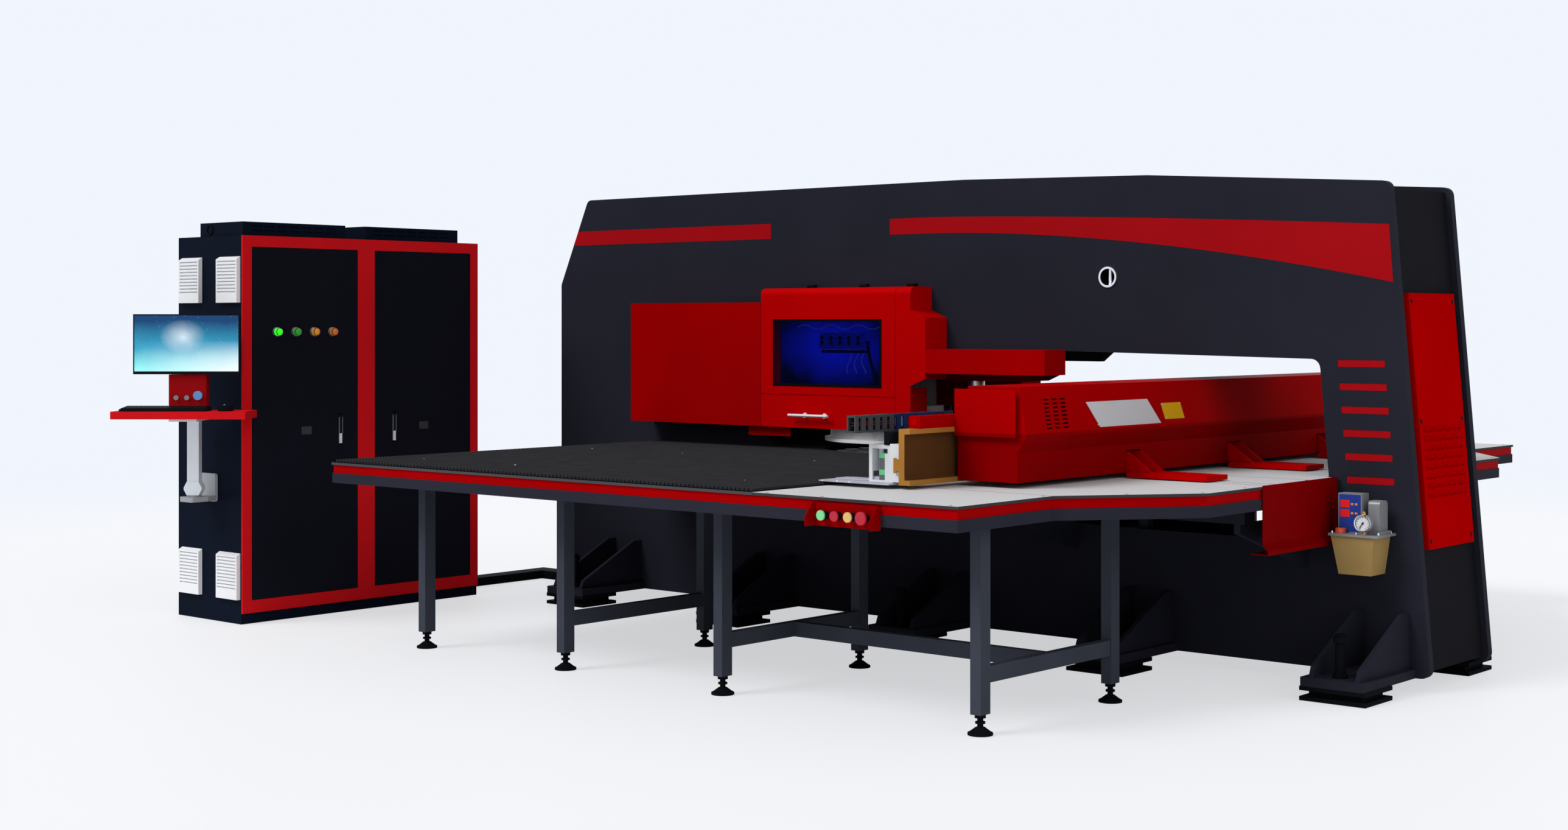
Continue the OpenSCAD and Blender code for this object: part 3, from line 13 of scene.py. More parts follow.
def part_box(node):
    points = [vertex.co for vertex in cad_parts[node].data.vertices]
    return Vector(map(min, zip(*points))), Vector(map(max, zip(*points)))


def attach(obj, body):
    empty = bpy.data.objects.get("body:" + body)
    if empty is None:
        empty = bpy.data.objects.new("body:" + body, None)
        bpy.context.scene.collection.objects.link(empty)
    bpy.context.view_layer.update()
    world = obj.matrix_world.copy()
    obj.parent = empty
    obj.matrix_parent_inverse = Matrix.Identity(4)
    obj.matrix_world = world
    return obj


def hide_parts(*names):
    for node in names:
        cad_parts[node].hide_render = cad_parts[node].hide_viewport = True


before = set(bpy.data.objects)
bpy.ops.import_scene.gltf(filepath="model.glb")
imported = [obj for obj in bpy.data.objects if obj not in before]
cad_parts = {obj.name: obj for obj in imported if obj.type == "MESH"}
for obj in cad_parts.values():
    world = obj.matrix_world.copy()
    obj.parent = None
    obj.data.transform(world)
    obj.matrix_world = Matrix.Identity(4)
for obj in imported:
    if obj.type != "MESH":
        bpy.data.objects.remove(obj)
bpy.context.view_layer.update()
scene = bpy.context.scene


# Helpers for nodes and finishes

def colour(code):
    """Turns an sRGB hex value into the linear colour that Blender works in."""
    parts = [int(code[i:i + 2], 16) / 255 for i in (1, 3, 5)]
    return tuple(c / 12.92 if c <= 0.04045 else ((c + 0.055) / 1.055) ** 2.4 for c in parts) + (1.0,)


def add(tree, kind, inputs=None, **settings):
    """Adds a node with its settings. An input takes a plain value or another node's output."""
    node = tree.nodes.new("ShaderNode" + kind)
    for name, value in settings.items():
        setattr(node, name, value)
    for name, value in (inputs or {}).items():
        if isinstance(value, bpy.types.NodeSocket):
            tree.links.new(value, node.inputs[name])
        else:
            node.inputs[name].default_value = value
    return node


def inside(tree, place, centre, half, turned_shape=False):
    """Gives 1 inside a box, or inside a ball or round bar, and 0 outside."""
    away = add(tree, "VectorMath", {0: place, 1: centre}, operation="SUBTRACT").outputs[0]
    share = add(tree, "VectorMath", {0: away, 1: half}, operation="DIVIDE").outputs[0]
    if turned_shape:
        reach = add(tree, "VectorMath", {0: share}, operation="LENGTH").outputs["Value"]
    else:
        size = add(tree, "VectorMath", {0: share}, operation="ABSOLUTE").outputs[0]
        split = add(tree, "SeparateXYZ", {0: size}).outputs
        wide = add(tree, "Math", {0: split[0], 1: split[1]}, operation="MAXIMUM").outputs[0]
        reach = add(tree, "Math", {0: wide, 1: split[2]}, operation="MAXIMUM").outputs[0]
    return add(tree, "Math", {0: reach, 1: 1.0}, operation="LESS_THAN").outputs[0]


# A distance beyond every part, for zones that are open on a side
FAR = 50.0


def zone(low, high, code, rough=0.4, metal=0.0, turned_shape=False):
    """Describes a part of a node that has another finish, as a box or a round bar between two corners."""
    centre = [(a + b) / 2 for a, b in zip(low, high)]
    half = [(b - a) / 2 for a, b in zip(low, high)]
    return centre, half, code, rough, metal, turned_shape


# Width of the band in which the fine grain moves a finish's roughness
GLOSS_SPREAD = 0.16
# Values that most of a cloud's noise lies between
CLOUD_LOW, CLOUD_HIGH = 0.3, 0.7
# Mirror level that the shader gives a metal by itself
METAL_SHINE = 0.5
# Metres after which a wave texture of scale 1 repeats
WAVE_LENGTH = pi / 10


def finish(name, code, rough, metal=0.0, shade=0.06, cloud=420, grain=3.0, relief=0.03, drawn=(1, 1, 1),
           zones=(), thread=None, shine_level=0.008, more=None):
    """Builds a finish: a cloudy colour, a fine grain in gloss and relief, and zones of other finishes.

    cloud, grain and relief are in millimetres; drawn squeezes the grain along an axis, as brushing does.
    thread is an axis and a pitch in millimetres, for the grooves of a screw. shine_level is how strongly a
    surface that is no metal mirrors its surroundings, and more names further sockets of the shader.
    """
    made = bpy.data.materials.new(name)
    made.use_nodes = True
    tree = made.node_tree
    tree.nodes.clear()
    place = add(tree, "TexCoord").outputs["Object"]
    clouds = add(tree, "TexNoise", {"Vector": place, "Scale": 1000 / cloud, "Detail": 3.0}).outputs[0]
    stretched = add(tree, "Mapping", {"Vector": place, "Scale": drawn}).outputs[0]
    fine = add(tree, "TexNoise", {"Vector": stretched, "Scale": 1000 / grain, "Detail": 2.0}).outputs[0]
    band = {0: clouds, 1: CLOUD_LOW, 2: CLOUD_HIGH, 3: 1 - shade, 4: 1 + shade}
    tone = add(tree, "MapRange", band).outputs[0]
    paint, gloss, shine = colour(code), rough - GLOSS_SPREAD / 2, metal
    for centre, half, zone_code, zone_rough, zone_metal, turned_shape in zones:
        mask = inside(tree, place, centre, half, turned_shape)
        paint = add(tree, "Mix", {0: mask, 6: paint, 7: colour(zone_code)}, data_type="RGBA").outputs[2]
        gloss = add(tree, "Mix", {0: mask, 2: gloss, 3: zone_rough - GLOSS_SPREAD / 2}).outputs[0]
        if metal or any(z[4] for z in zones):
            shine = add(tree, "Mix", {0: mask, 2: shine, 3: zone_metal}).outputs[0]
    shaded = add(tree, "HueSaturation", {"Value": tone, "Color": paint}).outputs[0]
    matt = add(tree, "Math", {0: fine, 1: GLOSS_SPREAD, 2: gloss}, operation="MULTIPLY_ADD").outputs[0]
    height, depth = fine, relief / 1000
    if thread:
        axis, pitch = thread
        wave = {"Vector": place, "Scale": 1000 / pitch * WAVE_LENGTH}
        height = add(tree, "TexWave", wave, bands_direction=axis).outputs["Fac"]
    bump = add(tree, "Bump", {"Strength": 0.6, "Distance": depth, "Height": height}).outputs[0]
    shader = {"Base Color": shaded, "Roughness": matt, "Metallic": shine, "Normal": bump}
    shader["Specular IOR Level"] = METAL_SHINE if metal == 1.0 else shine_level
    shader.update(more or {})
    skin = add(tree, "BsdfPrincipled", shader)
    add(tree, "OutputMaterial", {"Surface": skin.outputs[0]})
    return made


def dress(look, *nodes):
    """Puts a finish on every material slot of some CAD nodes."""
    for node in nodes:
        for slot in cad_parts[node].material_slots:
            slot.material = look


# Helpers for shapes

def once(parts):
    """Gives each part once, in the order they come in."""
    return list(dict.fromkeys(parts))


def block(bm, low, high, bevel=0.0, segments=2):
    """Adds a box between two corners, with rounded edges where bevel is given."""
    low, high = Vector(low), Vector(high)
    made = bmesh.ops.create_cube(bm, size=1.0)["verts"]
    bmesh.ops.scale(bm, vec=high - low, verts=made)
    bmesh.ops.translate(bm, vec=(low + high) / 2, verts=made)
    if bevel:
        edges = once(edge for vert in made for edge in vert.link_edges)
        bmesh.ops.bevel(
            bm, geom=edges, offset=bevel, segments=segments, profile=0.5, affect="EDGES", material=-1)


def turned(bm, profile, at, axis=(0, 0, 1), steps=24):
    """Turns a profile of radius and height points about an axis through a point."""
    known = set(bm.verts)
    line = [bm.verts.new((radius, 0, height)) for radius, height in profile]
    edges = [bm.edges.new(pair) for pair in zip(line, line[1:])]
    bmesh.ops.spin(
        bm, geom=line + edges, cent=(0, 0, 0), axis=(0, 0, 1), angle=2 * pi, steps=steps, use_merge=True)
    fresh = [vert for vert in bm.verts if vert not in known]
    stand = Matrix.Translation(at) @ Vector(axis).to_track_quat("Z", "Y").to_matrix().to_4x4()
    bmesh.ops.transform(bm, matrix=stand, verts=fresh)


def rod(bm, points, radius, sides=10):
    """Sweeps a round section along points and closes its ends."""
    rings = []
    for i, point in enumerate(points):
        ahead = Vector(points[min(i + 1, len(points) - 1)]) - Vector(points[max(i - 1, 0)])
        turn = Matrix.Translation(point) @ ahead.to_track_quat("Z", "Y").to_matrix().to_4x4()
        last = i in (0, len(points) - 1)
        ring = bmesh.ops.create_circle(bm, cap_ends=last, radius=radius, segments=sides, matrix=turn)["verts"]
        rings.append(once(edge for vert in ring for edge in vert.link_edges))
    for one, two in zip(rings, rings[1:]):
        bmesh.ops.bridge_loops(bm, edges=one + two)


def thicken(bm, faces, thickness):
    """Gives faces a thickness along a vector."""
    grown = bmesh.ops.extrude_face_region(bm, geom=faces)["geom"]
    corners = [part for part in grown if isinstance(part, bmesh.types.BMVert)]
    bmesh.ops.translate(bm, vec=thickness, verts=corners)


def sheet(bm, outline, thickness):
    """Adds a flat outline with a thickness along a vector."""
    thicken(bm, [bm.faces.new([bm.verts.new(point) for point in outline])], thickness)


def studs(bm, low, high, counts, gap, taper, height, tip, wanted=None):
    """Covers a rectangle with separate closed studs; gap is the bare edge of each stud's cell."""
    low, high = Vector(low), Vector(high)
    size = high - low
    net = bmesh.ops.create_grid(bm, x_segments=counts[0], y_segments=counts[1], size=0.5)["verts"]
    bmesh.ops.scale(bm, vec=(size.x, size.y, 1), verts=net)
    bmesh.ops.translate(bm, vec=(low + high) / 2, verts=net)
    cells = once(face for vert in net for face in vert.link_faces)
    if wanted:
        bare = [face for face in cells if not wanted(face.calc_center_median())]
        cells = [face for face in cells if face not in set(bare)]
        bmesh.ops.delete(bm, geom=bare, context="FACES")
    bmesh.ops.inset_individual(bm, faces=cells, thickness=gap)
    feet = set(cells)
    bmesh.ops.delete(bm, geom=[face for face in bm.faces if face not in feet], context="FACES")
    copy = bmesh.ops.duplicate(bm, geom=cells)["geom"]
    bmesh.ops.reverse_faces(bm, faces=[part for part in copy if isinstance(part, bmesh.types.BMFace)])
    bmesh.ops.inset_individual(bm, faces=cells, thickness=taper, depth=height)
    bmesh.ops.poke(bm, faces=cells, offset=tip)


def piece(name, bm, look, body, slot, *stands_for, smooth=35, turn=None):
    """Closes a mesh, links it as a piece at the origin, and says what it rides on. slot is not used."""
    bmesh.ops.remove_doubles(bm, verts=bm.verts, dist=1e-6)
    if turn:
        bmesh.ops.transform(bm, matrix=turn, verts=bm.verts)
    bmesh.ops.recalc_face_normals(bm, faces=bm.faces)
    for face in bm.faces:
        face.smooth = True
    for edge in bm.edges:
        edge.smooth = edge.calc_face_angle(pi) < radians(smooth)
    mesh = bpy.data.meshes.new(name)
    bm.to_mesh(mesh)
    bm.free()
    mesh.materials.append(look)
    made = bpy.data.objects.new(name, mesh)
    scene.collection.objects.link(made)
    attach(made, body)
    if stands_for:
        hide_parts(*stands_for)


def dome(radius, height):
    """Profile of a button-head screw, from its axis outwards."""
    return [(0, height), (0.6 * radius, 0.94 * height), (0.9 * radius, 0.6 * height), (radius, 0), (0, 0)]


# Measures shared by the pieces
# Y of the frame's near face and of the middle plane that its two sides mirror each other in
NEAR_FACE = -0.157
MID_Y = 0.179
TABLE_TOP = 0.913
# Foot of the turrets' axis, and radius of the opening in the tables around it
TURRET = Vector((-0.483, MID_Y, 0))
TURRET_OPENING = 0.48
# Y of the hood door's face, and X of the cabinet doors' faces
HOOD_FACE = -0.339
DOOR_FACE = -3.076
# Gap that keeps a piece off the face it lies on
SEAT = 0.0002
# Directions that pieces stand out in
TO_OPERATOR = (0, -1, 0)
TO_RIGHT = (1, 0, 0)
# Foot of the operator's arm, and its turn at rest
ARM = Matrix.Translation((-3.320, -2.430, 0)) @ Matrix.Rotation(radians(41), 4, "Z")


def right_edge(z):
    """X of the frame's leaning right end at a height."""
    foot_x, foot_z, height, lean = 2.558, 0.061, 2.161, 0.186
    return foot_x - lean * (z - foot_z) / height


# Middles of the four lamps on the left door, and radius of their rims
LAMP_YS = (-2.079, -1.9575, -1.836, -1.7145)
LAMP_Z = 1.552
RIM = 0.0255
# Middles of the lock plates on the two doors, and half their width and height
LOCK_PLATES = ((-1.890, 1.017), (-1.079, 1.014))
LOCK_HALF_Y, LOCK_HALF_Z = 0.036, 0.028
# Middles of the buttons on the button box, and radius of their collars
BUTTON_XS = (1.092, 1.160, 1.228, 1.296)
BUTTON_Z = 0.845
COLLAR = 0.0178
# Left and right ends of the clamps' pistons
PISTON_LEFT, PISTON_RIGHT = 0.928, 0.964

# Finishes of the frame and covers
# Powder-coated steel plate, slate: dark and slightly blue, with a faint orange peel of about 3 mm
frame_coat = finish("powder_coated_plate_slate", "#262731", 0.46, shade=0.07, relief=0.05, zones=[
    # Webs between the two plates lie in shade: painted shade, a darker colour over the space between the
    # plates
    zone((-FAR, -0.114, 0.0), (FAR, 0.472, 3.0), "#17171c", 0.5),
    # Chromed steel of the lifting ring
    zone((0.886, -FAR, 1.771), (0.986, FAR, 1.871), "#e4e6ea", 0.18, 1.0, turned_shape=True),
])
# Black powder coat on cast feet and cable ducts: matt, with a coarser skin
black_coat = finish("powder_coated_castings_black", "#111216", 0.55, grain=4.0, relief=0.08)
# Bright red stoving enamel on sheet steel: smooth and half glossy, with soft clouds
red_enamel = finish("stoving_enamel_red", "#bb0002", 0.36, shade=0.05, grain=2.5, relief=0.02)
# The same enamel where hinge knuckles of blackened steel belong to the node
hood_enamel = finish(
    "stoving_enamel_red_with_black_hinges", "#bb0002", 0.36, shade=0.05, grain=2.5, relief=0.02,
    zones=[zone((-2, -1, 1.7865), (1, 0, 1.9), "#121317", 0.45)])
# Covers of the arm and of the cross beam: the same red, darker on their lower folds with painted shade
cover_enamel = finish(
    "stoving_enamel_red_painted_shade_below", "#a80002", 0.4, shade=0.10, cloud=600, relief=0.02, shine_level=0.004,
    zones=[zone((-FAR, -FAR, 0.9), (FAR, FAR, 1.14), "#8a0002", 0.42)])
# The end panel's enamel has no gloss left
end_enamel = finish("weathered_enamel_red", "#b40001", 0.7, shade=0.04, relief=0.02, shine_level=0.0)
# The side cover: the same red, darkened with painted shade
painted_shade_red = finish(
    "stoving_enamel_red_in_painted_shade", "#9c0002", 0.38, shade=0.10, cloud=700, grain=2.5, relief=0.02)
# Rail covers, low on the machine: the red with the deepest painted shade on the outside
rail_enamel = finish(
    "stoving_enamel_red_of_rail_covers_in_painted_shade", "#7c0002", 0.42, shade=0.12, cloud=500, grain=2.5, relief=0.02)
# Red enamel in the throat of the machine, darkened with painted shade
throat_shade_red = finish("stoving_enamel_red_in_throat_painted_shade", "#7a0508", 0.42, relief=0.03)
# Cabinet sheet, navy black powder coat: a little glossier than the frame
cabinet_coat = finish("powder_coated_cabinet_navy", "#0f1624", 0.38, shade=0.10, cloud=600, relief=0.02)
# Door sheets, a paler navy black, with chromed rims under the lamps and grey lock plates
lamp_rims = [
    zone((-FAR, y - RIM, LAMP_Z - RIM), (FAR, y + RIM, LAMP_Z + RIM), "#d6d8dc", 0.25, 1.0, turned_shape=True)
    for y in LAMP_YS]
lock_plates = [
    zone((DOOR_FACE + 0.0003, y - LOCK_HALF_Y, z - LOCK_HALF_Z), (FAR, y + LOCK_HALF_Y, z + LOCK_HALF_Z),
         "#3c3c40", 0.5)
    for y, z in LOCK_PLATES]
door_coat = finish("powder_coated_door_navy", "#161720", 0.38, shade=0.10, cloud=600, relief=0.02,
                   zones=lamp_rims + lock_plates)
# Cabinet frame in a lighter red enamel, a little less glossy than the covers
bezel_enamel = finish("enamelled_cabinet_frame_red", "#d2181f", 0.4, relief=0.02)
# Moulded ABS vents, off-white
vent_plastic = finish("moulded_abs_white", "#eceef1", 0.45, shade=0.03, grain=1.5, relief=0.01)
# Powder-coated steel tubes, slate blue
tube_coat = finish("powder_coated_tube_slate", "#3e424c", 0.5, shade=0.08, cloud=250, relief=0.04)
# Table frame: red enamelled band over slate tubes
table_coat = finish("table_frame_red_band_and_slate_tube", "#2c2c37", 0.46, relief=0.03, zones=[
    zone((-3, -3, 0.861), (3, -0.160, 0.95), "#a20003", 0.4),
    zone((-3, 0.518, 0.861), (3, 3, 0.95), "#a20003", 0.4),
])
# White laminate on steel plates, dark grey on their edges below the top
plate_laminate = finish(
    "white_laminate_with_dark_edges", "#cfd0d2", 0.5, shade=0.02, grain=1.2, relief=0.01,
    zones=[zone((-3, -3, 0.80), (3, 3, 0.9126), "#3c3c3e", 0.5)])

# Finishes of the mechanism
# Ground and turned steel of the turrets: pale and satin, with fine marks along the turning
turret_steel = finish(
    "ground_tool_steel", "#eef1f4", 0.45, 0.08, shade=0.05, grain=1.2, relief=0.01, drawn=(1, 1, 14))
# Hardened tool steel, darker and blued
tool_steel = finish("blued_tool_steel", "#5c6066", 0.36, 1.0, shade=0.12, cloud=60, grain=1.0, relief=0.01)
# Machined steel of the ram: bright, with fine marks on it
bright_steel = finish(
    "machined_steel", "#c9ccd1", 0.28, 1.0, shade=0.06, grain=1.0, relief=0.01, drawn=(12, 1, 1))
# Cast bearing housings, clear-coated grey
hub_grey = finish("clear_coated_casting_grey", "#8a8d90", 0.45, shade=0.08, relief=0.05)
# Cast bronze of the cross beam: warm, dull, with a soft casting skin of about 6 mm
beam_bronze = finish(
    "cast_bronze", "#b07c38", 0.5, 0.2, shade=0.10, cloud=200, grain=6.0, relief=0.05,
    # Painted shade on the inside of the channel: a darker brown where it lies in shade
    zones=[zone((1.0936, -FAR, 0.951), (1.12, FAR, 1.141), "#5a3a1f", 0.6, 0.1)])
# Rolled ball screws: bright steel with their grooves drawn 32 mm apart, coarse enough to show
screw_steel_y = finish("rolled_screw_steel_y", "#b9bcc2", 0.3, 1.0, relief=2.0, thread=("Y", 32))
screw_steel_x = finish("rolled_screw_steel_x", "#b9bcc2", 0.3, 1.0, relief=2.0, thread=("X", 32))
# Guide beams: slate tubes with ground steel rails on top
rail_coat = finish("slate_beam_with_steel_rails", "#2a2c36", 0.5, relief=0.03, zones=[
    zone((-3, -3, 0.7998), (3, 3, 0.9), "#9a9da3", 0.3, 1.0)])
# Servo motor housings, black anodised aluminium
motor_black = finish("anodised_motor_black", "#1c1e22", 0.42, 0.4, grain=1.5, relief=0.02)
# White enamel on the carriage's machined blocks: even and half glossy
carriage_white = finish("white_enamel_on_carriage", "#e2e4e8", 0.36, shade=0.02, grain=2.0, relief=0.01)
# The same enamel on the clamps, with grey pistons, their green seals and bare steel lower jaws
clamp_white = finish("white_enamel_clamps_with_steel_jaws", "#e2e4e8", 0.36, shade=0.02, relief=0.01, zones=[
    zone((PISTON_LEFT, -FAR, 0.9445), (PISTON_RIGHT, FAR, 1.0745), "#6b6d71", 0.4, 0.2),
    zone((PISTON_LEFT, -FAR, 0.966), (PISTON_RIGHT, FAR, 0.988), "#6fce8d", 0.4),
    zone((PISTON_LEFT, -FAR, 1.036), (PISTON_RIGHT, FAR, 1.0585), "#6fce8d", 0.4),
    zone((0.5, -FAR, 0.9), (1.2, FAR, 0.9362), "#bfc1cb", 0.45, 0.35),
])
# Ground steel of the upper jaws: pale grey and satin, with marks across
jaw_steel = finish(
    "ground_jaw_steel", "#bfc1cb", 0.45, 0.35, shade=0.04, grain=1.0, relief=0.01, drawn=(1, 10, 1))
# Cable chain, moulded nylon: grey links at its near end, navy ones beyond
chain_nylon = finish("moulded_nylon_grey", "#4a4d51", 0.5, shade=0.08, grain=1.5, relief=0.02, zones=[
    zone((-3, -1.785, 0), (3, -1.35, 2), "#26335c", 0.4)])
# Tinted polycarbonate of the hood's window: lets the blue light inside show through
window_blue = finish(
    "tinted_polycarbonate_blue", "#02042c", 0.12, shade=0.02, relief=0.0, shine_level=0.02,
    more={"Alpha": 0.28})

# Finishes of the fittings
# Silver paint on the arm's steel post: pale, half matt, a trace of metal in it
arm_silver = finish("silver_painted_steel", "#dfe8ef", 0.36, 0.1, shade=0.04, grain=2.0, relief=0.02)
# Grey paint on the arm's castings, with their coarse skin showing
arm_grey = finish("grey_painted_casting", "#a2a5ab", 0.42, 0.1, shade=0.06, relief=0.05)
# Black moulded plastic of keyboard, mouse, monitor and black fittings: fine grained, half matt
black_plastic = finish("moulded_plastic_black", "#15161a", 0.45, grain=1.0, relief=0.02)
# Control panel: dark red enamel, its black stem beginning at a seam
panel_look = finish("enamelled_panel_red_with_black_stem", "#a01016", 0.4, relief=0.02, zones=[
    zone((-FAR, -FAR, 1.3282), (FAR, FAR, 2.0), "#1b1c20", 0.45)])
# Button box: deep red enamel, with black collars around its buttons
box_look = finish("enamelled_box_red_with_black_collars", "#8e0002", 0.38, relief=0.02, zones=[
    zone((x - COLLAR, -FAR, BUTTON_Z - COLLAR), (x + COLLAR, -2.4675, BUTTON_Z + COLLAR), "#141519", 0.4)
    for x in BUTTON_XS])
# Oil tank: amber resin, cloudy where the oil stands behind it
tank_resin = finish("moulded_tank_amber", "#a08452", 0.4, shade=0.07, cloud=120, grain=2.0, relief=0.02)
# Hammered grey paint of the pump, with dimples of about 4 mm
pump_paint = finish("hammered_paint_grey", "#8d9094", 0.4, 0.3, shade=0.06, cloud=60, grain=4.0, relief=0.08)
# Door levers: black plastic with a bright plated foot
lever_look = finish("door_lever_black_with_plated_foot", "#1a1b1f", 0.35, shade=0.02, relief=0.0, zones=[
    zone((-FAR, -FAR, 0.9), (FAR, FAR, 0.99), "#e6e8ea", 0.35, 0.1)])
# Marks printed on the chain's navy links: pale, sky blue and blue, half matt
mark_white = finish("printed_mark_pale", "#dfe3ee", 0.4, shade=0.03, grain=1.0, relief=0.01)
mark_sky = finish("printed_mark_sky", "#6f9be6", 0.4, shade=0.03, grain=1.0, relief=0.01)
mark_blue = finish("printed_mark_blue", "#2f56c8", 0.4, shade=0.03, grain=1.0, relief=0.01)
# Anodised strips on the door levers: plain mid grey
strip_grey = finish("anodised_strip_grey", "#7c7e82", 0.4, shade=0.03, grain=1.0, relief=0.01)
# Chromed brass of studs, rivets and rims: bright, nearly a mirror
chrome = finish("chromed_brass", "#e4e6ea", 0.16, 1.0, shade=0.02, relief=0.0)
# Plated hood handle: near white and glossy
handle_white = finish("plated_handle_white", "#e6e7ea", 0.25, 0.3, shade=0.02, relief=0.0)
# Black paint of the gauge's needle and marks
needle_paint = finish("painted_needle_black", "#101010", 0.4, shade=0.02, relief=0.0)


def cap_plastic(name, code, glow=0.0):
    """Moulded button or lamp cap: even and half glossy, with light of its own where it is a lamp."""
    own = {"Emission Color": colour(code), "Emission Strength": glow} if glow else {}
    return finish(name, code, 0.34, shade=0.03, cloud=30, grain=1.0, relief=0.01, shine_level=0.3, more=own)


dress(frame_coat, "main_frame")
dress(black_coat, "levelling_mounts", "table_feet", "floor_duct")
dress(painted_shade_red, "left_cover")
dress(red_enamel, "hood_door", "beam_slides")
dress(cover_enamel, "arm_cover", "rear_cover", "beam_cover")
dress(rail_enamel, "rail_covers")
dress(end_enamel, "end_panel")
dress(hood_enamel, "hood_shell")
dress(throat_shade_red, "ram_housing")
dress(hub_grey, "turret_hubs")
dress(plate_laminate, "white_plates")
dress(table_coat, "table_frame")
dress(tube_coat, "table_legs")
dress(rail_coat, "rail_beams")
dress(box_look, "button_box")
dress(tank_resin, "oil_tank")
dress(pump_paint, "oil_pump")
dress(cabinet_coat, "cabinet_shell")
dress(door_coat, "door_left", "door_right")
dress(bezel_enamel, "cabinet_bezel", "keyboard_tray")
dress(vent_plastic, "wall_vents")
dress(arm_grey, "wall_bracket")
dress(arm_silver, "arm_post")
dress(motor_black, "feed_motor", "carriage_motor")
dress(lever_look, "handle_left", "handle_right")
dress(window_blue, "hood_glass")
dress(handle_white, "hood_handle")
dress(turret_steel, "upper_turret", "lower_turret")
dress(tool_steel, "punch_tools")
dress(bright_steel, "ram")
dress(beam_bronze, "beam")
dress(screw_steel_y, "carriage_screw")
dress(screw_steel_x, "feed_screw")
dress(carriage_white, "carriage")
dress(clamp_white, "clamps")
dress(chain_nylon, "cable_chain")
dress(jaw_steel, "clamp_jaws")
dress(black_plastic, "keyboard_mouse", "monitor")
dress(panel_look, "control_panel")
dress(cap_plastic("moulded_cap_mint", "#7fd895"), "start_button")
dress(cap_plastic("moulded_cap_crimson", "#b81f35"), "stop_button", "mushroom_button")
dress(cap_plastic("moulded_cap_sand", "#e0b96f"), "hold_button")
dress(cap_plastic("moulded_cap_grey", "#8a8d90"), "grey_button_a", "grey_button_b")
dress(cap_plastic("moulded_cap_blue", "#6a9edb"), "blue_button")
dress(cap_plastic("moulded_cap_orange", "#d0532f"), "filler_cap")
dress(needle_paint, "gauge_needle")

# Brush tables: nylon tufts on black boards
BRUSH_LEFT, BRUSH_RIGHT = -2.086, 0.697
# Distances from the middle plane at which an outer table starts and ends
SIDE_START, SIDE_REACH = 0.344, 2.642
# Left end of the middle board, and the boards' foot and thickness
MIDDLE_LEFT = -1.213
BOARD_FOOT = 0.901
BOARD_UP = (0, 0, TABLE_TOP - BOARD_FOOT)
# Bare edges around the fields of tufts, and the X where two fields meet
BARE, BARE_RIGHT, BARE_JOINT = 0.012, 0.009, 0.010
FIELD_JOINT = -0.694
TUFT_CLEARANCE = 0.014
TUFT_PITCH = (0.024, 0.018)
TUFT_GAP, TUFT_TAPER, TUFT_HEIGHT, TUFT_TIP = 0.0042, 0.0018, 0.0125, 0.0022
# Nylon bristles in tufts: dark grey and matt, nearly black at the foot
tuft_nylon = finish("nylon_tufts_grey", "#2f2f32", 0.62, shade=0.12, cloud=90, grain=1.5, relief=0.05, zones=[
    zone((-3, -3, 0.9), (3, 3, 0.9155), "#0d0d0f", 0.7)])
# Boards of black moulded plastic under the tufts, grey along their outer edges
board_black = finish("moulded_board_black_with_grey_edge", "#0c0c0e", 0.6, grain=2.0, relief=0.03, zones=[
    zone((-3, low, 0.9), (3, high, 0.92), "#4a4a4e", 0.5)
    for low, high in ((-2.47, -2.4625), (2.8205, 2.83))])


def opening_arc(y0, y1, side, steps=14):
    """Points of the turret's opening between two Y values, on its left (-1) or right (1) side."""
    ys = [y0 + (y1 - y0) * i / steps for i in range(steps + 1)]
    reaches = [sqrt(max(TURRET_OPENING ** 2 - (y - MID_Y) ** 2, 0)) for y in ys]
    return [(TURRET.x + side * reach, y, BOARD_FOOT) for reach, y in zip(reaches, ys)]


def clear_of_turret(point):
    """Says whether a tuft stands on a board and not over the turret's opening."""
    return (Vector((point.x, point.y, 0)) - TURRET).length > TURRET_OPENING + TUFT_CLEARANCE


def tufts(name, low_x, high_x, low_y, high_y, mirrored=False):
    """Makes one field of tufts, on the near side or mirrored to the far side."""
    bm = bmesh.new()
    counts = (round((high_x - low_x) / TUFT_PITCH[0]), round((high_y - low_y) / TUFT_PITCH[1]))
    low, high = (low_x, low_y, TABLE_TOP), (high_x, high_y, TABLE_TOP)
    studs(bm, low, high, counts, TUFT_GAP, TUFT_TAPER, TUFT_HEIGHT, TUFT_TIP, clear_of_turret)
    if mirrored:
        bmesh.ops.scale(bm, vec=(1, -1, 1), verts=bm.verts)
        bmesh.ops.translate(bm, vec=(0, 2 * MID_Y, 0), verts=bm.verts)
    piece(name, bm, tuft_nylon, "press_frame", "brush", smooth=20)


def side_board(bm, mirrored):
    """Adds the board of an outer table, bitten by the turret's opening."""
    edge = MID_Y - SIDE_START
    reach = sqrt(TURRET_OPENING ** 2 - SIDE_START ** 2)
    steps = 20
    across = [reach * cos(pi * i / steps) for i in range(steps + 1)]
    bite = [(TURRET.x + x, MID_Y - sqrt(TURRET_OPENING ** 2 - x ** 2), BOARD_FOOT) for x in across]
    low = MID_Y - SIDE_REACH
    outline = [(BRUSH_LEFT, low, BOARD_FOOT), (BRUSH_RIGHT, low, BOARD_FOOT), (BRUSH_RIGHT, edge, BOARD_FOOT)]
    outline += bite + [(BRUSH_LEFT, edge, BOARD_FOOT)]
    if mirrored:
        outline = [(x, 2 * MID_Y - y, z) for x, y, z in outline]
    sheet(bm, outline, BOARD_UP)


def both_sides(places):
    """Gives each X and Y place, followed by its mirror image in the middle plane."""
    return [(x, at_y) for x, y in places for at_y in (y, 2 * MID_Y - y)]


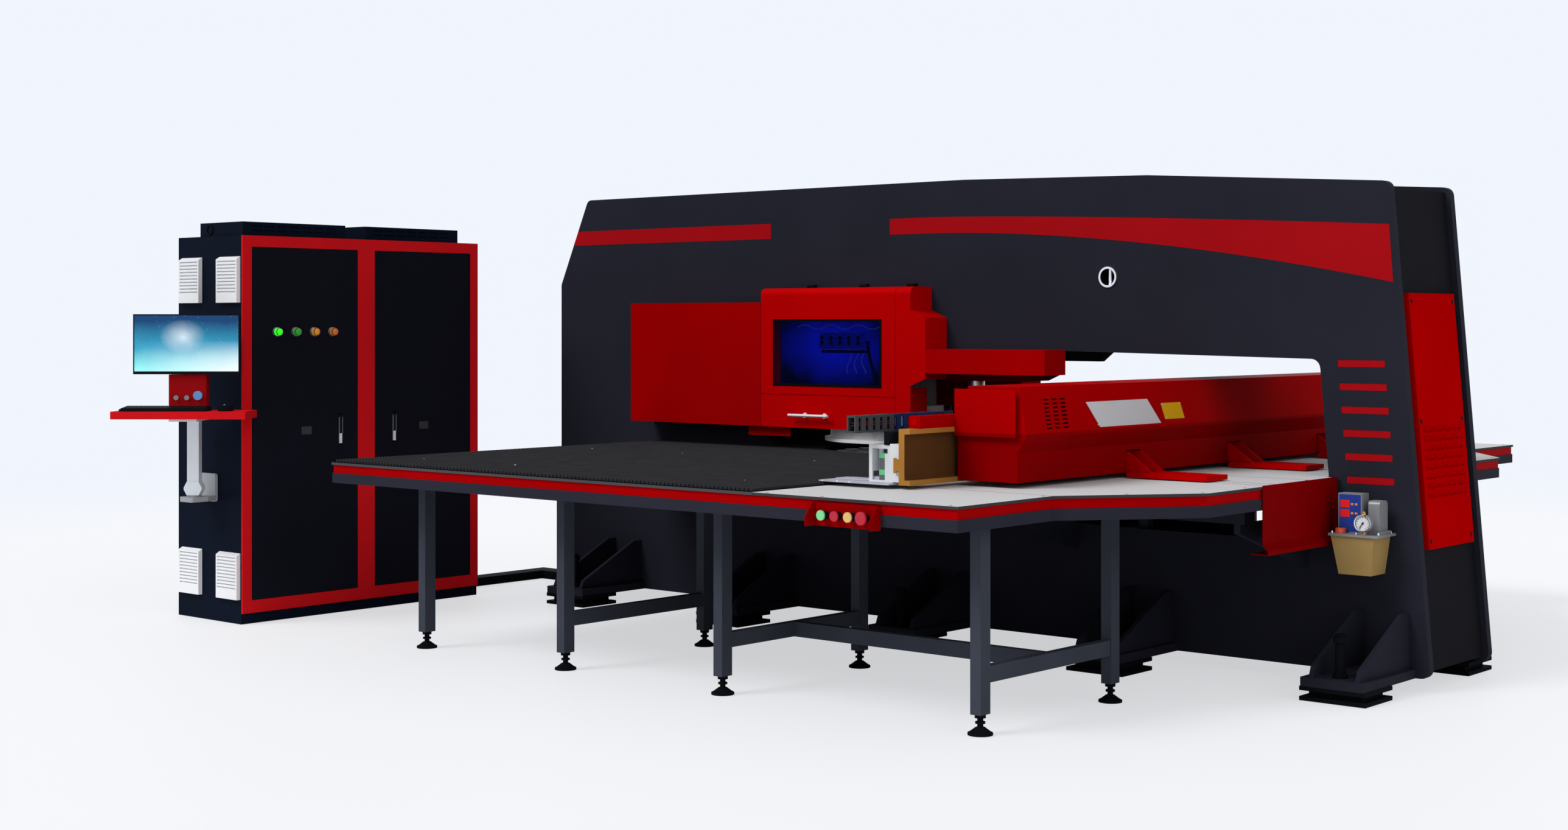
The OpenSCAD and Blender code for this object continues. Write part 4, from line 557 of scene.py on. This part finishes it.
tuft_edge = MID_Y - SIDE_REACH + BARE
tuft_start = MID_Y - SIDE_START - BARE_JOINT
for side, flip in (("near", False), ("far", True)):
    tufts(f"{side}_tufts_left", BRUSH_LEFT + BARE, FIELD_JOINT, tuft_edge, tuft_start, flip)
    tufts(f"{side}_tufts_right", FIELD_JOINT, BRUSH_RIGHT - BARE_RIGHT, tuft_edge, tuft_start, flip)
tufts("middle_tufts", MIDDLE_LEFT + 0.007, BRUSH_RIGHT - BARE,
      MID_Y - SIDE_START + BARE_JOINT, MID_Y + SIDE_START - BARE_JOINT)

bm = bmesh.new()
side_board(bm, False)
side_board(bm, True)
inner = SIDE_START - 0.001
for side, end_x in ((-1, MIDDLE_LEFT), (1, BRUSH_RIGHT)):
    arc = opening_arc(MID_Y - inner, MID_Y + inner, side)
    ends = [(end_x, MID_Y + inner, BOARD_FOOT), (end_x, MID_Y - inner, BOARD_FOOT)]
    sheet(bm, arc + ends, BOARD_UP)
piece("brush_boards", bm, board_black, "press_frame", "brush", "brush_tables")

# Bright ball studs among the tufts, near and far
STUD_PLACES = (
    (-1.782, -2.129), (-1.114, -2.126), (-1.784, -0.977), (-1.140, -0.954), (-0.233, -0.966), (0.36, -2.13))
STUD = [(0, 0.0148), (0.005, 0.0138), (0.009, 0.0105), (0.011, 0.006), (0.011, 0), (0, 0)]
bm = bmesh.new()
for x, y in both_sides(STUD_PLACES):
    turned(bm, STUD, (x, y, TABLE_TOP), steps=16)
piece("table_ball_studs", bm, chrome, "press_frame", "machined_steel")

# Painted stripe on the near plate, in two parts. It bends down to the right of one X.
STRIPE_BEND = -0.16
# Red enamel masked onto the plate: 1 mm proud, so that it shows as an edge
stripe_red = finish("masked_enamel_stripe_red", "#a30f16", 0.4, shade=0.05, relief=0.02)


def upper_line(x):
    """Height of the stripe's upper edge."""
    return 2.144 - 0.0311 * max(x - STRIPE_BEND, 0) ** 1.38


def lower_line(x):
    """Height of the stripe's lower edge."""
    return 2.061 - 0.0504 * max(x - STRIPE_BEND, 0) ** 1.844


def stripe(name, low_ends, high_ends, steps):
    """Maps a grid between the two lines and gives it 1 mm of thickness."""
    bm = bmesh.new()
    for vert in bmesh.ops.create_grid(bm, x_segments=steps, y_segments=1, size=0.5)["verts"]:
        along, up = vert.co.x + 0.5, vert.co.y + 0.5
        left = low_ends[0] + (high_ends[0] - low_ends[0]) * up
        right = low_ends[1] + (high_ends[1] - low_ends[1]) * up
        x = left + (right - left) * along
        vert.co = (x, NEAR_FACE, lower_line(x) + (upper_line(x) - lower_line(x)) * up)
    thicken(bm, list(bm.faces), (0, -0.001, 0))
    piece(name, bm, stripe_red, "press_frame", "edge_red")


stripe("stripe_left", (-2.799, -1.227), (-2.759, -1.227), 2)
stripe("stripe_right", (-0.398, 2.388), (-0.398, 2.369), 48)

# Fills in the six recesses of the near plate, in steps along its leaning right end
FILL_Z, FILL_PITCH, FILL_SETBACK = 1.404, 0.103, 0.316
bm = bmesh.new()
for i in range(6):
    z = FILL_Z - i * FILL_PITCH
    x = right_edge(z) - FILL_SETBACK
    block(bm, (x + 0.001, NEAR_FACE + 0.0006, z + 0.001), (x + 0.222, NEAR_FACE + 0.0031, z + 0.031))
piece("recess_fills", bm, stripe_red, "press_frame", "edge_red")

# Hood: rubber gasket, liner behind the window with painted blue light, block with five valves, hoses
# Matt black rubber of the gasket, also the sheath of cables and ports
gasket_rubber = finish("extruded_rubber_black", "#0d0d10", 0.6, shade=0.03, grain=1.0, relief=0.02)
# The window in X and Z, the gasket's lip around it, and its lap over the pane
left, foot, right, top = -1.041, 1.275, -0.321, 1.609
lip, lap, proud = 0.011, 0.002, 0.0035
bm = bmesh.new()
for low, high in (
    ((left - lip, foot - lip), (right + lip, foot + lap)),
    ((left - lip, top - lap), (right + lip, top + lip)),
    ((left - lip, foot + lap / 2), (left + lap, top - lap / 2)),
    ((right - lap, foot + lap / 2), (right + lip, top - lap / 2)),
):
    block(bm, (low[0], HOOD_FACE - proud, low[1]), (high[0], HOOD_FACE - SEAT, high[1]), 0.0012, 1)
piece("window_gasket", bm, gasket_rubber, "hood_door", "mount_black")

# Painted valve block, with the hood's blue light painted on it as a glow
valve_blue = finish("valve_block_in_blue_light", "#060b40", 0.5, shade=0.2, cloud=60, relief=0.02, more={
    "Emission Color": colour("#0a16a8"), "Emission Strength": 0.35})
# Painted liner in the hood, with deep blue light painted on it as a glow: brightest round one spot, with
# painted shade towards its edges
liner_blue = finish("liner_blue_with_painted_glow", "#03062c", 0.5, shade=0.35, cloud=200, relief=0.02)
tree = liner_blue.node_tree
place = add(tree, "TexCoord").outputs["Object"]
# Spot that the liner's painted glow is brightest around
PAINTED_GLOW_SPOT = (-0.78, NEAR_FACE, 1.47)
away = add(tree, "VectorMath", {0: place, 1: PAINTED_GLOW_SPOT}, operation="SUBTRACT").outputs[0]
spread = add(tree, "VectorMath", {0: away, 1: (2.3, 0.0, 4.6)}, operation="MULTIPLY").outputs[0]
far = add(tree, "VectorMath", {0: spread}, operation="LENGTH").outputs["Value"]
ripple = add(tree, "TexNoise", {"Vector": place, "Scale": 9.0, "Detail": 4.0}).outputs[0]
reach = add(tree, "Math", {0: ripple, 1: 0.5, 2: far}, operation="MULTIPLY_ADD").outputs[0]
glow = add(tree, "MapRange", {0: reach, 1: 0.35, 2: 1.25}).outputs[0]
lit = add(tree, "Mix", {0: glow, 6: colour("#0614c8"), 7: colour("#010312")}, data_type="RGBA").outputs[2]
shader = next(node for node in tree.nodes if node.type == "BSDF_PRINCIPLED")
tree.links.new(lit, shader.inputs["Emission Color"])
shader.inputs["Emission Strength"].default_value = 0.95
LINER_FACE = NEAR_FACE - 0.006
bm = bmesh.new()
block(bm, (-1.125, LINER_FACE, 1.165), (-0.275, NEAR_FACE - 0.002, 1.735), 0.001, 1)
# Its two raised sides, and a duct and a rib across it
for x in (-1.1245, -0.2805):
    block(bm, (x, NEAR_FACE - 0.030, 1.1657), (x + 0.005, NEAR_FACE - 0.0045, 1.7343), 0.001, 1)
block(bm, (-1.02, NEAR_FACE - 0.012, 1.31), (-0.36, LINER_FACE, 1.335), 0.002, 1)
block(bm, (-1.02, NEAR_FACE - 0.010, 1.41), (-0.72, LINER_FACE, 1.416), 0.001, 1)
piece("hood_liner", bm, liner_blue, "press_frame", "button_blue")

VALVE_XS = [-0.813 + i * 0.062 for i in range(5)]
VALVE_FACE = NEAR_FACE - 0.058
bm = bmesh.new()
block(bm, (-0.845, NEAR_FACE - 0.050, 1.462), (-0.535, LINER_FACE, 1.492), 0.003)
for x in VALVE_XS:
    block(bm, (x - 0.018, VALVE_FACE, 1.470), (x + 0.018, NEAR_FACE - 0.008, 1.548), 0.004)
piece("valve_block", bm, valve_blue, "press_frame", "blue_glass")
# Two round ports on each valve, a rail below them and a thick hose that bends away from it
PORT = [(0, 0.004), (0.010, 0.0035), (0.0125, 0.001), (0.0125, -0.0004), (0, -0.0004)]
bm = bmesh.new()
for x in VALVE_XS:
    for z in (1.520, 1.494):
        turned(bm, PORT, (x, VALVE_FACE, z), TO_OPERATOR, 14)
block(bm, (-0.852, NEAR_FACE - 0.020, 1.440), (-0.525, LINER_FACE, 1.456), 0.003)
bend = [(-0.530 + 0.045 * (1 - cos(t * 0.26)), NEAR_FACE - 0.020, 1.505 - 0.030 * t) for t in range(8)]
rod(bm, bend, 0.008)
piece("valve_ports", bm, gasket_rubber, "press_frame", "mount_black")

# Thin blue polyurethane hoses: smooth, with the liner's blue light painted on them as a glow
hose_look = finish("polyurethane_hose_blue", "#3a4ad0", 0.35, shade=0.04, relief=0.0, more={
    "Emission Color": colour("#2a38c0"), "Emission Strength": 0.25})
bm = bmesh.new()
across = [(-1.02 + 0.67 * t / 30, NEAR_FACE - 0.014, 1.578 + 0.012 * sin(t * 0.75)) for t in range(31)]
rod(bm, across, 0.004, 8)
for i in range(3):
    down = [(-0.66 + 0.05 * i + 0.015 * sin(t * 0.5 + i), NEAR_FACE - 0.016, 1.465 - 0.012 * t)
            for t in range(12)]
    rod(bm, down, 0.003, 8)
piece("hood_hoses", bm, hose_look, "press_frame", "blue_glass")

# Hood door: the raised line of its lower fold, in the red of painted shade: painted shadow under the fold's
# lip
bm = bmesh.new()
block(bm, (-1.137, HOOD_FACE - 0.0025, 1.2205), (-0.225, HOOD_FACE - SEAT, 1.2232), 0.0005, 1)
piece("hood_fold_shadow_line", bm, painted_shade_red, "hood_door", "cover_red")
# Cross beam: the round cover over the near bearing of the carriage's screw
BEARING_COVER = [(0, 0.004), (0.013, 0.004), (0.0145, 0.0025), (0.0145, 0), (0, 0)]
bm = bmesh.new()
turned(bm, BEARING_COVER, (1.095, -1.8972, 1.188), TO_OPERATOR)
piece("screw_bearing_cover", bm, red_enamel, "cross_beam", "cover_red")

# Cable chain: the cables inside it, and three marks on its navy links
CABLES_NEAR, CABLES_FAR = -2.040, -1.392
thin = [(0.867 + i * 0.0076, 1.178, 0.0033) for i in range(4)]
thick = [(0.878, z, 0.0054) for z in (1.156, 1.166, 1.190, 1.200)]
bm = bmesh.new()
for x, z, radius in thin + thick:
    rod(bm, [(x, CABLES_NEAR, z), (x, CABLES_FAR, z)], radius, 8)
piece("chain_cables", bm, gasket_rubber, "sheet_carriage", "mount_black")

for name, y0, look, slot in (
    ("chain_mark_pale", -1.698, mark_white, "handle_white"),
    ("chain_mark_sky", -1.736, mark_sky, "button_blue"),
    ("chain_mark_blue", -1.772, mark_blue, "blue_glass"),
):
    bm = bmesh.new()
    block(bm, (0.8935, y0, 1.160), (0.8952, y0 + 0.016, 1.206), 0.0005, 1)
    piece(name, bm, look, "sheet_carriage", slot)

# Carriage: a black block on its near end, below the chain, as painted shade in the dark opening there
bm = bmesh.new()
block(bm, (0.962, -1.935, 1.091), (1.006, -1.862, 1.148), 0.003)
block(bm, (0.968, -1.9395, 1.098), (1.000, -1.935, 1.140), 0.001, 1)
piece("carriage_shade_block", bm, black_plastic, "sheet_carriage", "motor_black")

# Door levers: grey strips along both edges, above the plated foot
LEVER_FOOT_TOP = 0.9895
for name in ("handle_left", "handle_right"):
    low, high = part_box(name)
    bm = bmesh.new()
    for y0, y1 in ((low[1] - 0.0004, low[1] + 0.0026), (high[1] - 0.0026, high[1] + 0.0004)):
        block(bm, (high[0] - 0.004, y0, LEVER_FOOT_TOP), (high[0] + 0.0004, y1, high[2] - 0.012), 0.0004, 1)
    piece(name + "_strips", bm, strip_grey, name, "handle_white")

# Turret: a plug screw with a hollow head in each radial opening of the upper turret
PLUG = [(0, 0.0075), (0.003, 0.0075), (0.0035, 0.009), (0.0095, 0.009), (0.0102, 0.008), (0.0102, 0), (0, 0)]
PLUGS, PLUG_REACH, PLUG_Z = 20, 0.4505, 1.014
bm = bmesh.new()
for i in range(PLUGS):
    angle = radians((i + 0.5) * 360 / PLUGS)
    out = Vector((cos(angle), sin(angle), 0))
    turned(bm, PLUG, TURRET + out * PLUG_REACH + Vector((0, 0, PLUG_Z)), out, 16)
piece("turret_plug_screws", bm, turret_steel, "upper_turret", "turret_steel")

# Beam cover: button-head bolts, a bare name plate and a small yellow plate on its leaning face
bm = bmesh.new()
for y in (-1.585, -1.239, -0.904, -0.45, 0.018, 0.60, 1.18, 1.76):
    turned(bm, dome(0.011, 0.005), (1.4263, y, 1.087), TO_RIGHT, 16)
piece("cover_bolts", bm, black_plastic, "cross_beam", "mount_black")

COVER_LEAN = 0.168
COVER_OUT = Vector((1, 0, COVER_LEAN)).normalized()
PLATE_OUT = COVER_OUT * 0.0012


def leaning(y, z):
    """A point of the beam cover's leaning face."""
    return Vector((1.4716 - (z - 1.127) * COVER_LEAN, y, z))


# Enamelled plates, white and yellow: even and half glossy
plate_white = finish("enamelled_plate_white", "#c9cace", 0.35, shade=0.04, relief=0.01)
plate_yellow = finish("enamelled_plate_yellow", "#d8a417", 0.4, shade=0.04, relief=0.01)
for name, look, slot, corners in (
    ("bare_name_plate", plate_white, "table_white",
     ((-1.066, 1.15), (-0.560, 1.15), (-0.652, 1.26), (-1.153, 1.26))),
    ("bare_yellow_plate", plate_yellow, "button_sand",
     ((-0.520, 1.165), (-0.350, 1.165), (-0.370, 1.238), (-0.540, 1.238))),
):
    bm = bmesh.new()
    sheet(bm, [leaning(y, z) for y, z in corners], PLATE_OUT)
    piece(name, bm, look, "cross_beam", slot)
bm = bmesh.new()
for y, z in (
    (-1.080, 1.160), (-1.136, 1.250), (-0.578, 1.160), (-0.664, 1.250),
    (-0.511, 1.172), (-0.357, 1.172), (-0.528, 1.231), (-0.376, 1.231),
):
    turned(bm, dome(0.0035, 0.0015), leaning(y, z) + PLATE_OUT, COVER_OUT, 10)
piece("plate_rivets", bm, chrome, "cross_beam", "machined_steel")

# End panel: two columns of screws on its leaning face
PANEL_OUT_X, PANEL_OUT_Z = 0.9963, 0.0857
bm = bmesh.new()
for up in (0.035, 0.56, 1.09):
    for y in (MID_Y - 0.215, MID_Y + 0.215):
        at = (2.5107 - PANEL_OUT_Z * up, y, 0.610 + PANEL_OUT_X * up)
        turned(bm, dome(0.009, 0.004), at, (PANEL_OUT_X, 0, PANEL_OUT_Z), 14)
piece("end_panel_screws", bm, black_plastic, "press_frame", "mount_black")

# White tables: countersunk screws along their edges, and sealed seams from their left end
SCREW_PLACES = (
    (0.76, -2.44), (1.05, -2.44), (1.36, -2.44), (1.68, -2.44), (1.70, -1.85),
    (1.90, -1.55), (2.09, -1.28), (2.10, -0.95), (2.10, -0.40), (1.20, -0.22))
SCREW_HEAD = [(0, 0.0006), (0.006, 0.0006), (0.0075, 0.0002), (0.0075, 0), (0, 0)]
bm = bmesh.new()
for x, y in both_sides(SCREW_PLACES):
    turned(bm, SCREW_HEAD, (x, y, TABLE_TOP), steps=16)
piece("table_screws", bm, black_plastic, "press_frame", "mount_black")
WHITE_LEFT = 0.70
SEAM_ENDS = ((1.72, -1.813), (2.12, -0.381))
bm = bmesh.new()
for end_x, y in both_sides(SEAM_ENDS):
    block(bm, (WHITE_LEFT, y - 0.0015, TABLE_TOP), (end_x, y + 0.0015, TABLE_TOP + 0.0003))
piece("table_seams", bm, black_plastic, "press_frame", "mount_black")

# Carriage: button-head screws on its face and on the clamps
bm = bmesh.new()
for y in (-1.92, -1.62, -1.50, -1.22, -1.10, -0.72):
    for z in (0.955, 1.080):
        turned(bm, dome(0.008, 0.005), (1.0037, y, z), (-1, 0, 0), 14)
for y in (-1.930, -1.348, -0.766):
    for x in (0.70, 0.78, 0.845):
        for side in (-1, 1):
            turned(bm, dome(0.006, 0.0025), (x, y + side * 0.088, 0.936), steps=12)
piece("carriage_screws", bm, chrome, "sheet_carriage", "machined_steel")

# Cabinet: lamp caps on the left door, and the ring handle on the fan box
LAMP_CAP = [(0, 0.0225), (0.013, 0.0215), (0.0185, 0.018), (0.0207, 0.012), (0.0207, 0), (0, 0)]
for name, y, code, glow, slot in (
    ("lamp_bright_green", LAMP_YS[0], "#28f01c", 0.8, "button_mint"),
    ("lamp_green", LAMP_YS[1], "#1f9e2c", 0.25, "button_mint"),
    ("lamp_amber", LAMP_YS[2], "#d08a1c", 0.25, "button_sand"),
    ("lamp_orange", LAMP_YS[3], "#c2701a", 0.2, "cap_orange"),
):
    bm = bmesh.new()
    turned(bm, LAMP_CAP, (DOOR_FACE + 0.0083, y, LAMP_Z), TO_RIGHT)
    piece(name, bm, cap_plastic("moulded_cap_" + name, code, glow), "cabinet_door_left", slot)
RING_RADIUS, WIRE_RADIUS = 0.026, 0.0035
wire = [(RING_RADIUS + WIRE_RADIUS * cos(pi * i / 6), WIRE_RADIUS * sin(pi * i / 6)) for i in range(13)]
bm = bmesh.new()
turned(bm, wire, (-3.40, -2.2832, 2.103), TO_OPERATOR)
piece("fan_box_ring", bm, black_plastic, "press_frame", "mount_black")

# Operator's arm: screen, key caps and the mouse's wheel, laid out along X and turned with the arm
TRAY_TOP = 1.140
MONITOR_Z = 1.488
bm = bmesh.new()
block(bm, (-0.2735, -0.1528, MONITOR_Z - 0.1425), (0.2735, -0.1519, MONITOR_Z + 0.1515))


def screen_glass():
    """Lit screen: a gradient from dark blue to cyan, with a soft cloud of light and faint points."""
    made = bpy.data.materials.new("lit_screen")
    made.use_nodes = True
    tree = made.node_tree
    tree.nodes.clear()
    place = add(tree, "TexCoord").outputs["Object"]
    back = ARM.inverted()
    turn = {"Vector": place, "Location": back.translation, "Rotation": back.to_euler()}
    flat = add(tree, "Mapping", turn).outputs[0]
    part = add(tree, "SeparateXYZ", {0: flat}).outputs
    up = add(tree, "MapRange", {0: part[2], 1: MONITOR_Z - 0.14, 2: MONITOR_Z + 0.15}).outputs[0]
    across = add(tree, "MapRange", {0: part[0], 1: -0.27, 2: 0.27}).outputs[0]
    swirl = add(tree, "TexNoise", {"Vector": flat, "Scale": 7.0, "Detail": 6.0, "Roughness": 0.6}).outputs[0]
    bent = add(tree, "Math", {0: swirl, 1: 0.18, 2: up}, operation="MULTIPLY_ADD").outputs[0]
    sky = add(tree, "ValToRGB", {0: bent})
    stops = sky.color_ramp.elements
    stops[0].position, stops[0].color = 0.08, colour("#8fe9e6")
    stops[1].position, stops[1].color = 1.0, colour("#0d3a66")
    middle = stops.new(0.5)
    middle.color = colour("#2f93b4")
    low = add(tree, "MapRange", {0: up, 1: 0.55, 2: 0.0}).outputs[0]
    pale = add(tree, "Math", {0: low, 1: across}, operation="MULTIPLY").outputs[0]
    washed = add(tree, "Mix", {0: pale, 6: sky.outputs[0], 7: colour("#e2e8ec")}, data_type="RGBA").outputs[2]
    heart = (-0.02, -0.152, MONITOR_Z + 0.04)
    centre = add(tree, "VectorMath", {0: flat, 1: heart}, operation="SUBTRACT").outputs[0]
    wide = add(tree, "VectorMath", {0: centre, 1: (9.0, 1.0, 12.0)}, operation="MULTIPLY").outputs[0]
    far = add(tree, "VectorMath", {0: wide}, operation="LENGTH").outputs["Value"]
    glow = add(tree, "MapRange", {0: far, 1: 1.1, 2: 0.0}).outputs[0]
    cloud = add(tree, "Math", {0: glow, 1: swirl}, operation="MULTIPLY").outputs[0]
    lit = add(tree, "Mix", {0: cloud, 6: washed, 7: colour("#e8f4fa")}, data_type="RGBA").outputs[2]
    spots = add(tree, "TexVoronoi", {"Vector": flat, "Scale": 55.0}).outputs["Distance"]
    star = add(tree, "Math", {0: spots, 1: 0.07}, operation="LESS_THAN").outputs[0]
    star = add(tree, "Math", {0: star, 1: 0.5}, operation="MULTIPLY").outputs[0]
    shown = add(tree, "Mix", {0: star, 6: lit, 7: (1, 1, 1, 1)}, data_type="RGBA").outputs[2]
    skin = add(tree, "BsdfPrincipled", {"Base Color": shown, "Roughness": 0.25, "Specular IOR Level": 0.2,
                                        "Emission Color": shown, "Emission Strength": 0.45})
    add(tree, "OutputMaterial", {"Surface": skin.outputs[0]})
    return made


piece("monitor_screen", bm, screen_glass(), "monitor", "screen_black", turn=ARM)

bm = bmesh.new()
studs(bm, (-0.304, 0.008, 0), (0.129, 0.124, 0), (20, 5), 0.0013, 0.0015, 0.0045, 0.0003)
slope = Matrix.Translation((0, -0.297, TRAY_TOP + 0.0121)) @ Matrix.Rotation(radians(4.4), 4, "X")
piece("keyboard_keys", bm, black_plastic, "operator_arm", "key_black", turn=ARM @ slope)
bm = bmesh.new()
turned(bm, [(0, 0.004), (0.007, 0.004), (0.009, 0.002), (0.009, -0.002), (0.007, -0.004), (0, -0.004)],
       (0.225, -0.247, TRAY_TOP + 0.0265), (1, 0, 0), 18)
piece("mouse_wheel", bm, arm_grey, "operator_arm", "arm_silver", turn=ARM)

# Lubricator: blue control face with red displays and orange keys, gauge and nuts
# Blue printed film of the control face: even, with a fine grain
control_blue = finish("printed_panel_blue", "#2b3f93", 0.4, shade=0.03, relief=0.01)
# Red displays, faintly lit, and keys of orange plastic
display_red = cap_plastic("display_red", "#c41a1a", 0.3)
key_orange = cap_plastic("key_orange", "#e08a3a")
FACE_Y = -0.285
PANEL_LEFT, PANEL_RIGHT, PANEL_FOOT, PANEL_TOP = 2.193, 2.303, 0.684, 0.857


def on_panel(across, down):
    """X and Z of a spot on the control face, from its top left corner."""
    return PANEL_LEFT + across * (PANEL_RIGHT - PANEL_LEFT), PANEL_TOP - down * (PANEL_TOP - PANEL_FOOT)


FILM_Y = FACE_Y - 0.0015
bm = bmesh.new()
block(bm, (PANEL_LEFT + 0.005, FILM_Y, PANEL_FOOT + 0.006), (PANEL_RIGHT - 0.005, FACE_Y, PANEL_TOP - 0.005),
      0.0006, 1)
piece("pump_control_face", bm, control_blue, "press_frame", "button_blue")
bm = bmesh.new()
for high, low in ((0.17, 0.36), (0.41, 0.595)):
    x0, z1 = on_panel(0.10, high)
    x1, z0 = on_panel(0.49, low)
    block(bm, (x0, FACE_Y - 0.0028, z0), (x1, FILM_Y, z1), 0.0005, 1)
piece("pump_displays", bm, display_red, "press_frame", "button_crimson")
bm = bmesh.new()
for across in (0.60, 0.77):
    for down in (0.27, 0.50):
        x, z = on_panel(across, down)
        block(bm, (x - 0.006, FACE_Y - 0.0035, z - 0.005), (x + 0.006, FILM_Y, z + 0.005), 0.001, 1)
x, z = on_panel(0.77, 0.737)
turned(bm, dome(0.008, 0.004), (x, FILM_Y, z), TO_OPERATOR, 16)
piece("pump_keys", bm, key_orange, "press_frame", "cap_orange")

# Middle of the gauge's face
GAUGE = Vector((2.335, -0.343, 0.735))
# White printed dial: plain and half matt
dial_white = finish("printed_dial_white", "#dfe2e6", 0.4, shade=0.02, relief=0.0)
bm = bmesh.new()
turned(bm, [(0, 0.0002), (0.0326, 0.0002), (0.0326, 0), (0, 0)], GAUGE, TO_OPERATOR, 40)
piece("gauge_dial", bm, dial_white, "press_frame", "table_white")
bm = bmesh.new()
for i in range(-1, 12):
    angle = radians(215 - i * 25)
    out = Vector((cos(angle), 0, sin(angle)))
    start, end = GAUGE + out * 0.0235, GAUGE + out * 0.0295
    start.y = end.y = GAUGE.y - 0.0004
    rod(bm, [start, end], 0.0009, 4)
piece("gauge_marks", bm, needle_paint, "press_frame", "needle_black")
GAUGE_RIM = [(0.0335, 0.0), (0.0335, 0.0012), (0.0372, 0.002), (0.0385, 0.0),
             (0.0385, -0.006), (0.0372, -0.008), (0.0372, -0.002), (0.0335, 0.0)]
bm = bmesh.new()
turned(bm, GAUGE_RIM, (2.335, -0.3493, 0.735), TO_OPERATOR, 40)
piece("gauge_rim", bm, chrome, "press_frame", "machined_steel")
# Turned brass of the gauge's fittings: warm and bright
brass = finish("turned_brass", "#c9a25a", 0.3, 0.9, shade=0.05, cloud=40, grain=1.0, relief=0.01)
UPPER_FITTING = [(0, 0.014), (0.005, 0.014), (0.006, 0.010), (0.009, 0.010), (0.009, 0), (0, 0)]
LOWER_FITTING = [(0, 0.010), (0.006, 0.009), (0.008, 0.004), (0.008, 0), (0, 0)]
bm = bmesh.new()
turned(bm, UPPER_FITTING, (2.335, -0.335, 0.772), steps=6)
turned(bm, LOWER_FITTING, (2.335, -0.335, 0.686), steps=6)
piece("gauge_fittings", bm, brass, "press_frame", "bronze")
PUMP_TOP = 0.684
PUMP_NUT = [(0, 0.011), (0.004, 0.010), (0.0055, 0.006), (0.0055, 0.005), (0.0075, 0.005),
            (0.0075, 0), (0, 0)]
bm = bmesh.new()
for x, y in (
    (2.183, -0.325), (2.295, -0.325), (2.385, -0.300), (2.385, -0.175),
    (2.183, -0.175), (2.326, -0.235), (2.386, -0.235),
):
    turned(bm, PUMP_NUT, (x, y, PUMP_TOP), steps=12)
piece("pump_nuts", bm, chrome, "press_frame", "machined_steel")

# Camera
camera = bpy.data.objects.new("camera", bpy.data.cameras.new("camera"))
camera.data.lens = 48.12
camera.data.sensor_width = 36.0
camera.data.shift_y = -0.0587
camera.location = (6.377, -8.805, 1.6)
camera.rotation_euler = (radians(90), 0, radians(40.969))
scene.collection.objects.link(camera)
scene.camera = camera


# Studio: a pale floor, a pale world and two soft suns
def sun(name, towards, strength, spread):
    """Adds a soft sun that shines along a direction."""
    lamp = bpy.data.lights.new(name, "SUN")
    lamp.energy = strength
    lamp.angle = radians(spread)
    made = bpy.data.objects.new(name, lamp)
    made.rotation_euler = Vector(towards).to_track_quat("-Z", "Y").to_euler()
    scene.collection.objects.link(made)


sun("key", (0.35, 0.75, -0.85), 1.7, 25)
sun("fill", (-0.85, 0.30, -0.55), 0.45, 40)

world = bpy.data.worlds.new("studio")
scene.world = world
world.use_nodes = True
tree = world.node_tree
tree.nodes.clear()
rays = add(tree, "LightPath").outputs
seen = add(tree, "Math", {0: rays["Is Camera Ray"], 1: rays["Is Glossy Ray"]}, operation="MAXIMUM").outputs[0]
seen = add(tree, "Math", {0: seen, 1: rays["Is Transmission Ray"]}, operation="MAXIMUM").outputs[0]
lit = add(tree, "Background", {"Color": (1, 1, 1, 1), "Strength": 0.5}).outputs[0]
shown = add(tree, "Background", {"Color": colour("#f1f5fd"), "Strength": 1.0}).outputs[0]
both = add(tree, "MixShader", {0: seen, 1: lit, 2: shown}).outputs[0]
add(tree, "OutputWorld", {"Surface": both})

# Floor: pale and matt; the camera also sees some light of its own in it, and it fades into the world
floor_look = bpy.data.materials.new("studio_floor_paint")
floor_look.use_nodes = True
tree = floor_look.node_tree
tree.nodes.clear()
place = add(tree, "TexCoord").outputs["Object"]
rays = add(tree, "LightPath").outputs
skin = add(tree, "BsdfPrincipled", {"Base Color": colour("#f4f5f8"), "Roughness": 0.55}).outputs[0]
glow = add(tree, "Emission", {"Color": colour("#fbfcff"), "Strength": 1.0}).outputs[0]
part = add(tree, "Math", {0: rays["Is Camera Ray"], 1: 0.62}, operation="MULTIPLY").outputs[0]
body = add(tree, "MixShader", {0: part, 1: skin, 2: glow}).outputs[0]
flat = add(tree, "VectorMath", {0: place, 1: (1, 1, 0)}, operation="MULTIPLY").outputs[0]
away = add(tree, "VectorMath", {0: flat}, operation="LENGTH").outputs["Value"]
fade = add(tree, "MapRange", {0: away, 1: 6.0, 2: 13.0}, interpolation_type="SMOOTHSTEP").outputs[0]
gone = add(tree, "BsdfTransparent").outputs[0]
faded = add(tree, "MixShader", {0: fade, 1: body, 2: gone}).outputs[0]
add(tree, "OutputMaterial", {"Surface": faded})
bm = bmesh.new()
bmesh.ops.create_circle(bm, cap_ends=True, radius=14.0, segments=64)
mesh = bpy.data.meshes.new("floor")
bm.to_mesh(mesh)
bm.free()
mesh.materials.append(floor_look)
floor = bpy.data.objects.new("floor", mesh)
floor.location.z = -0.002
scene.collection.objects.link(floor)

scene.view_settings.view_transform = "Standard"
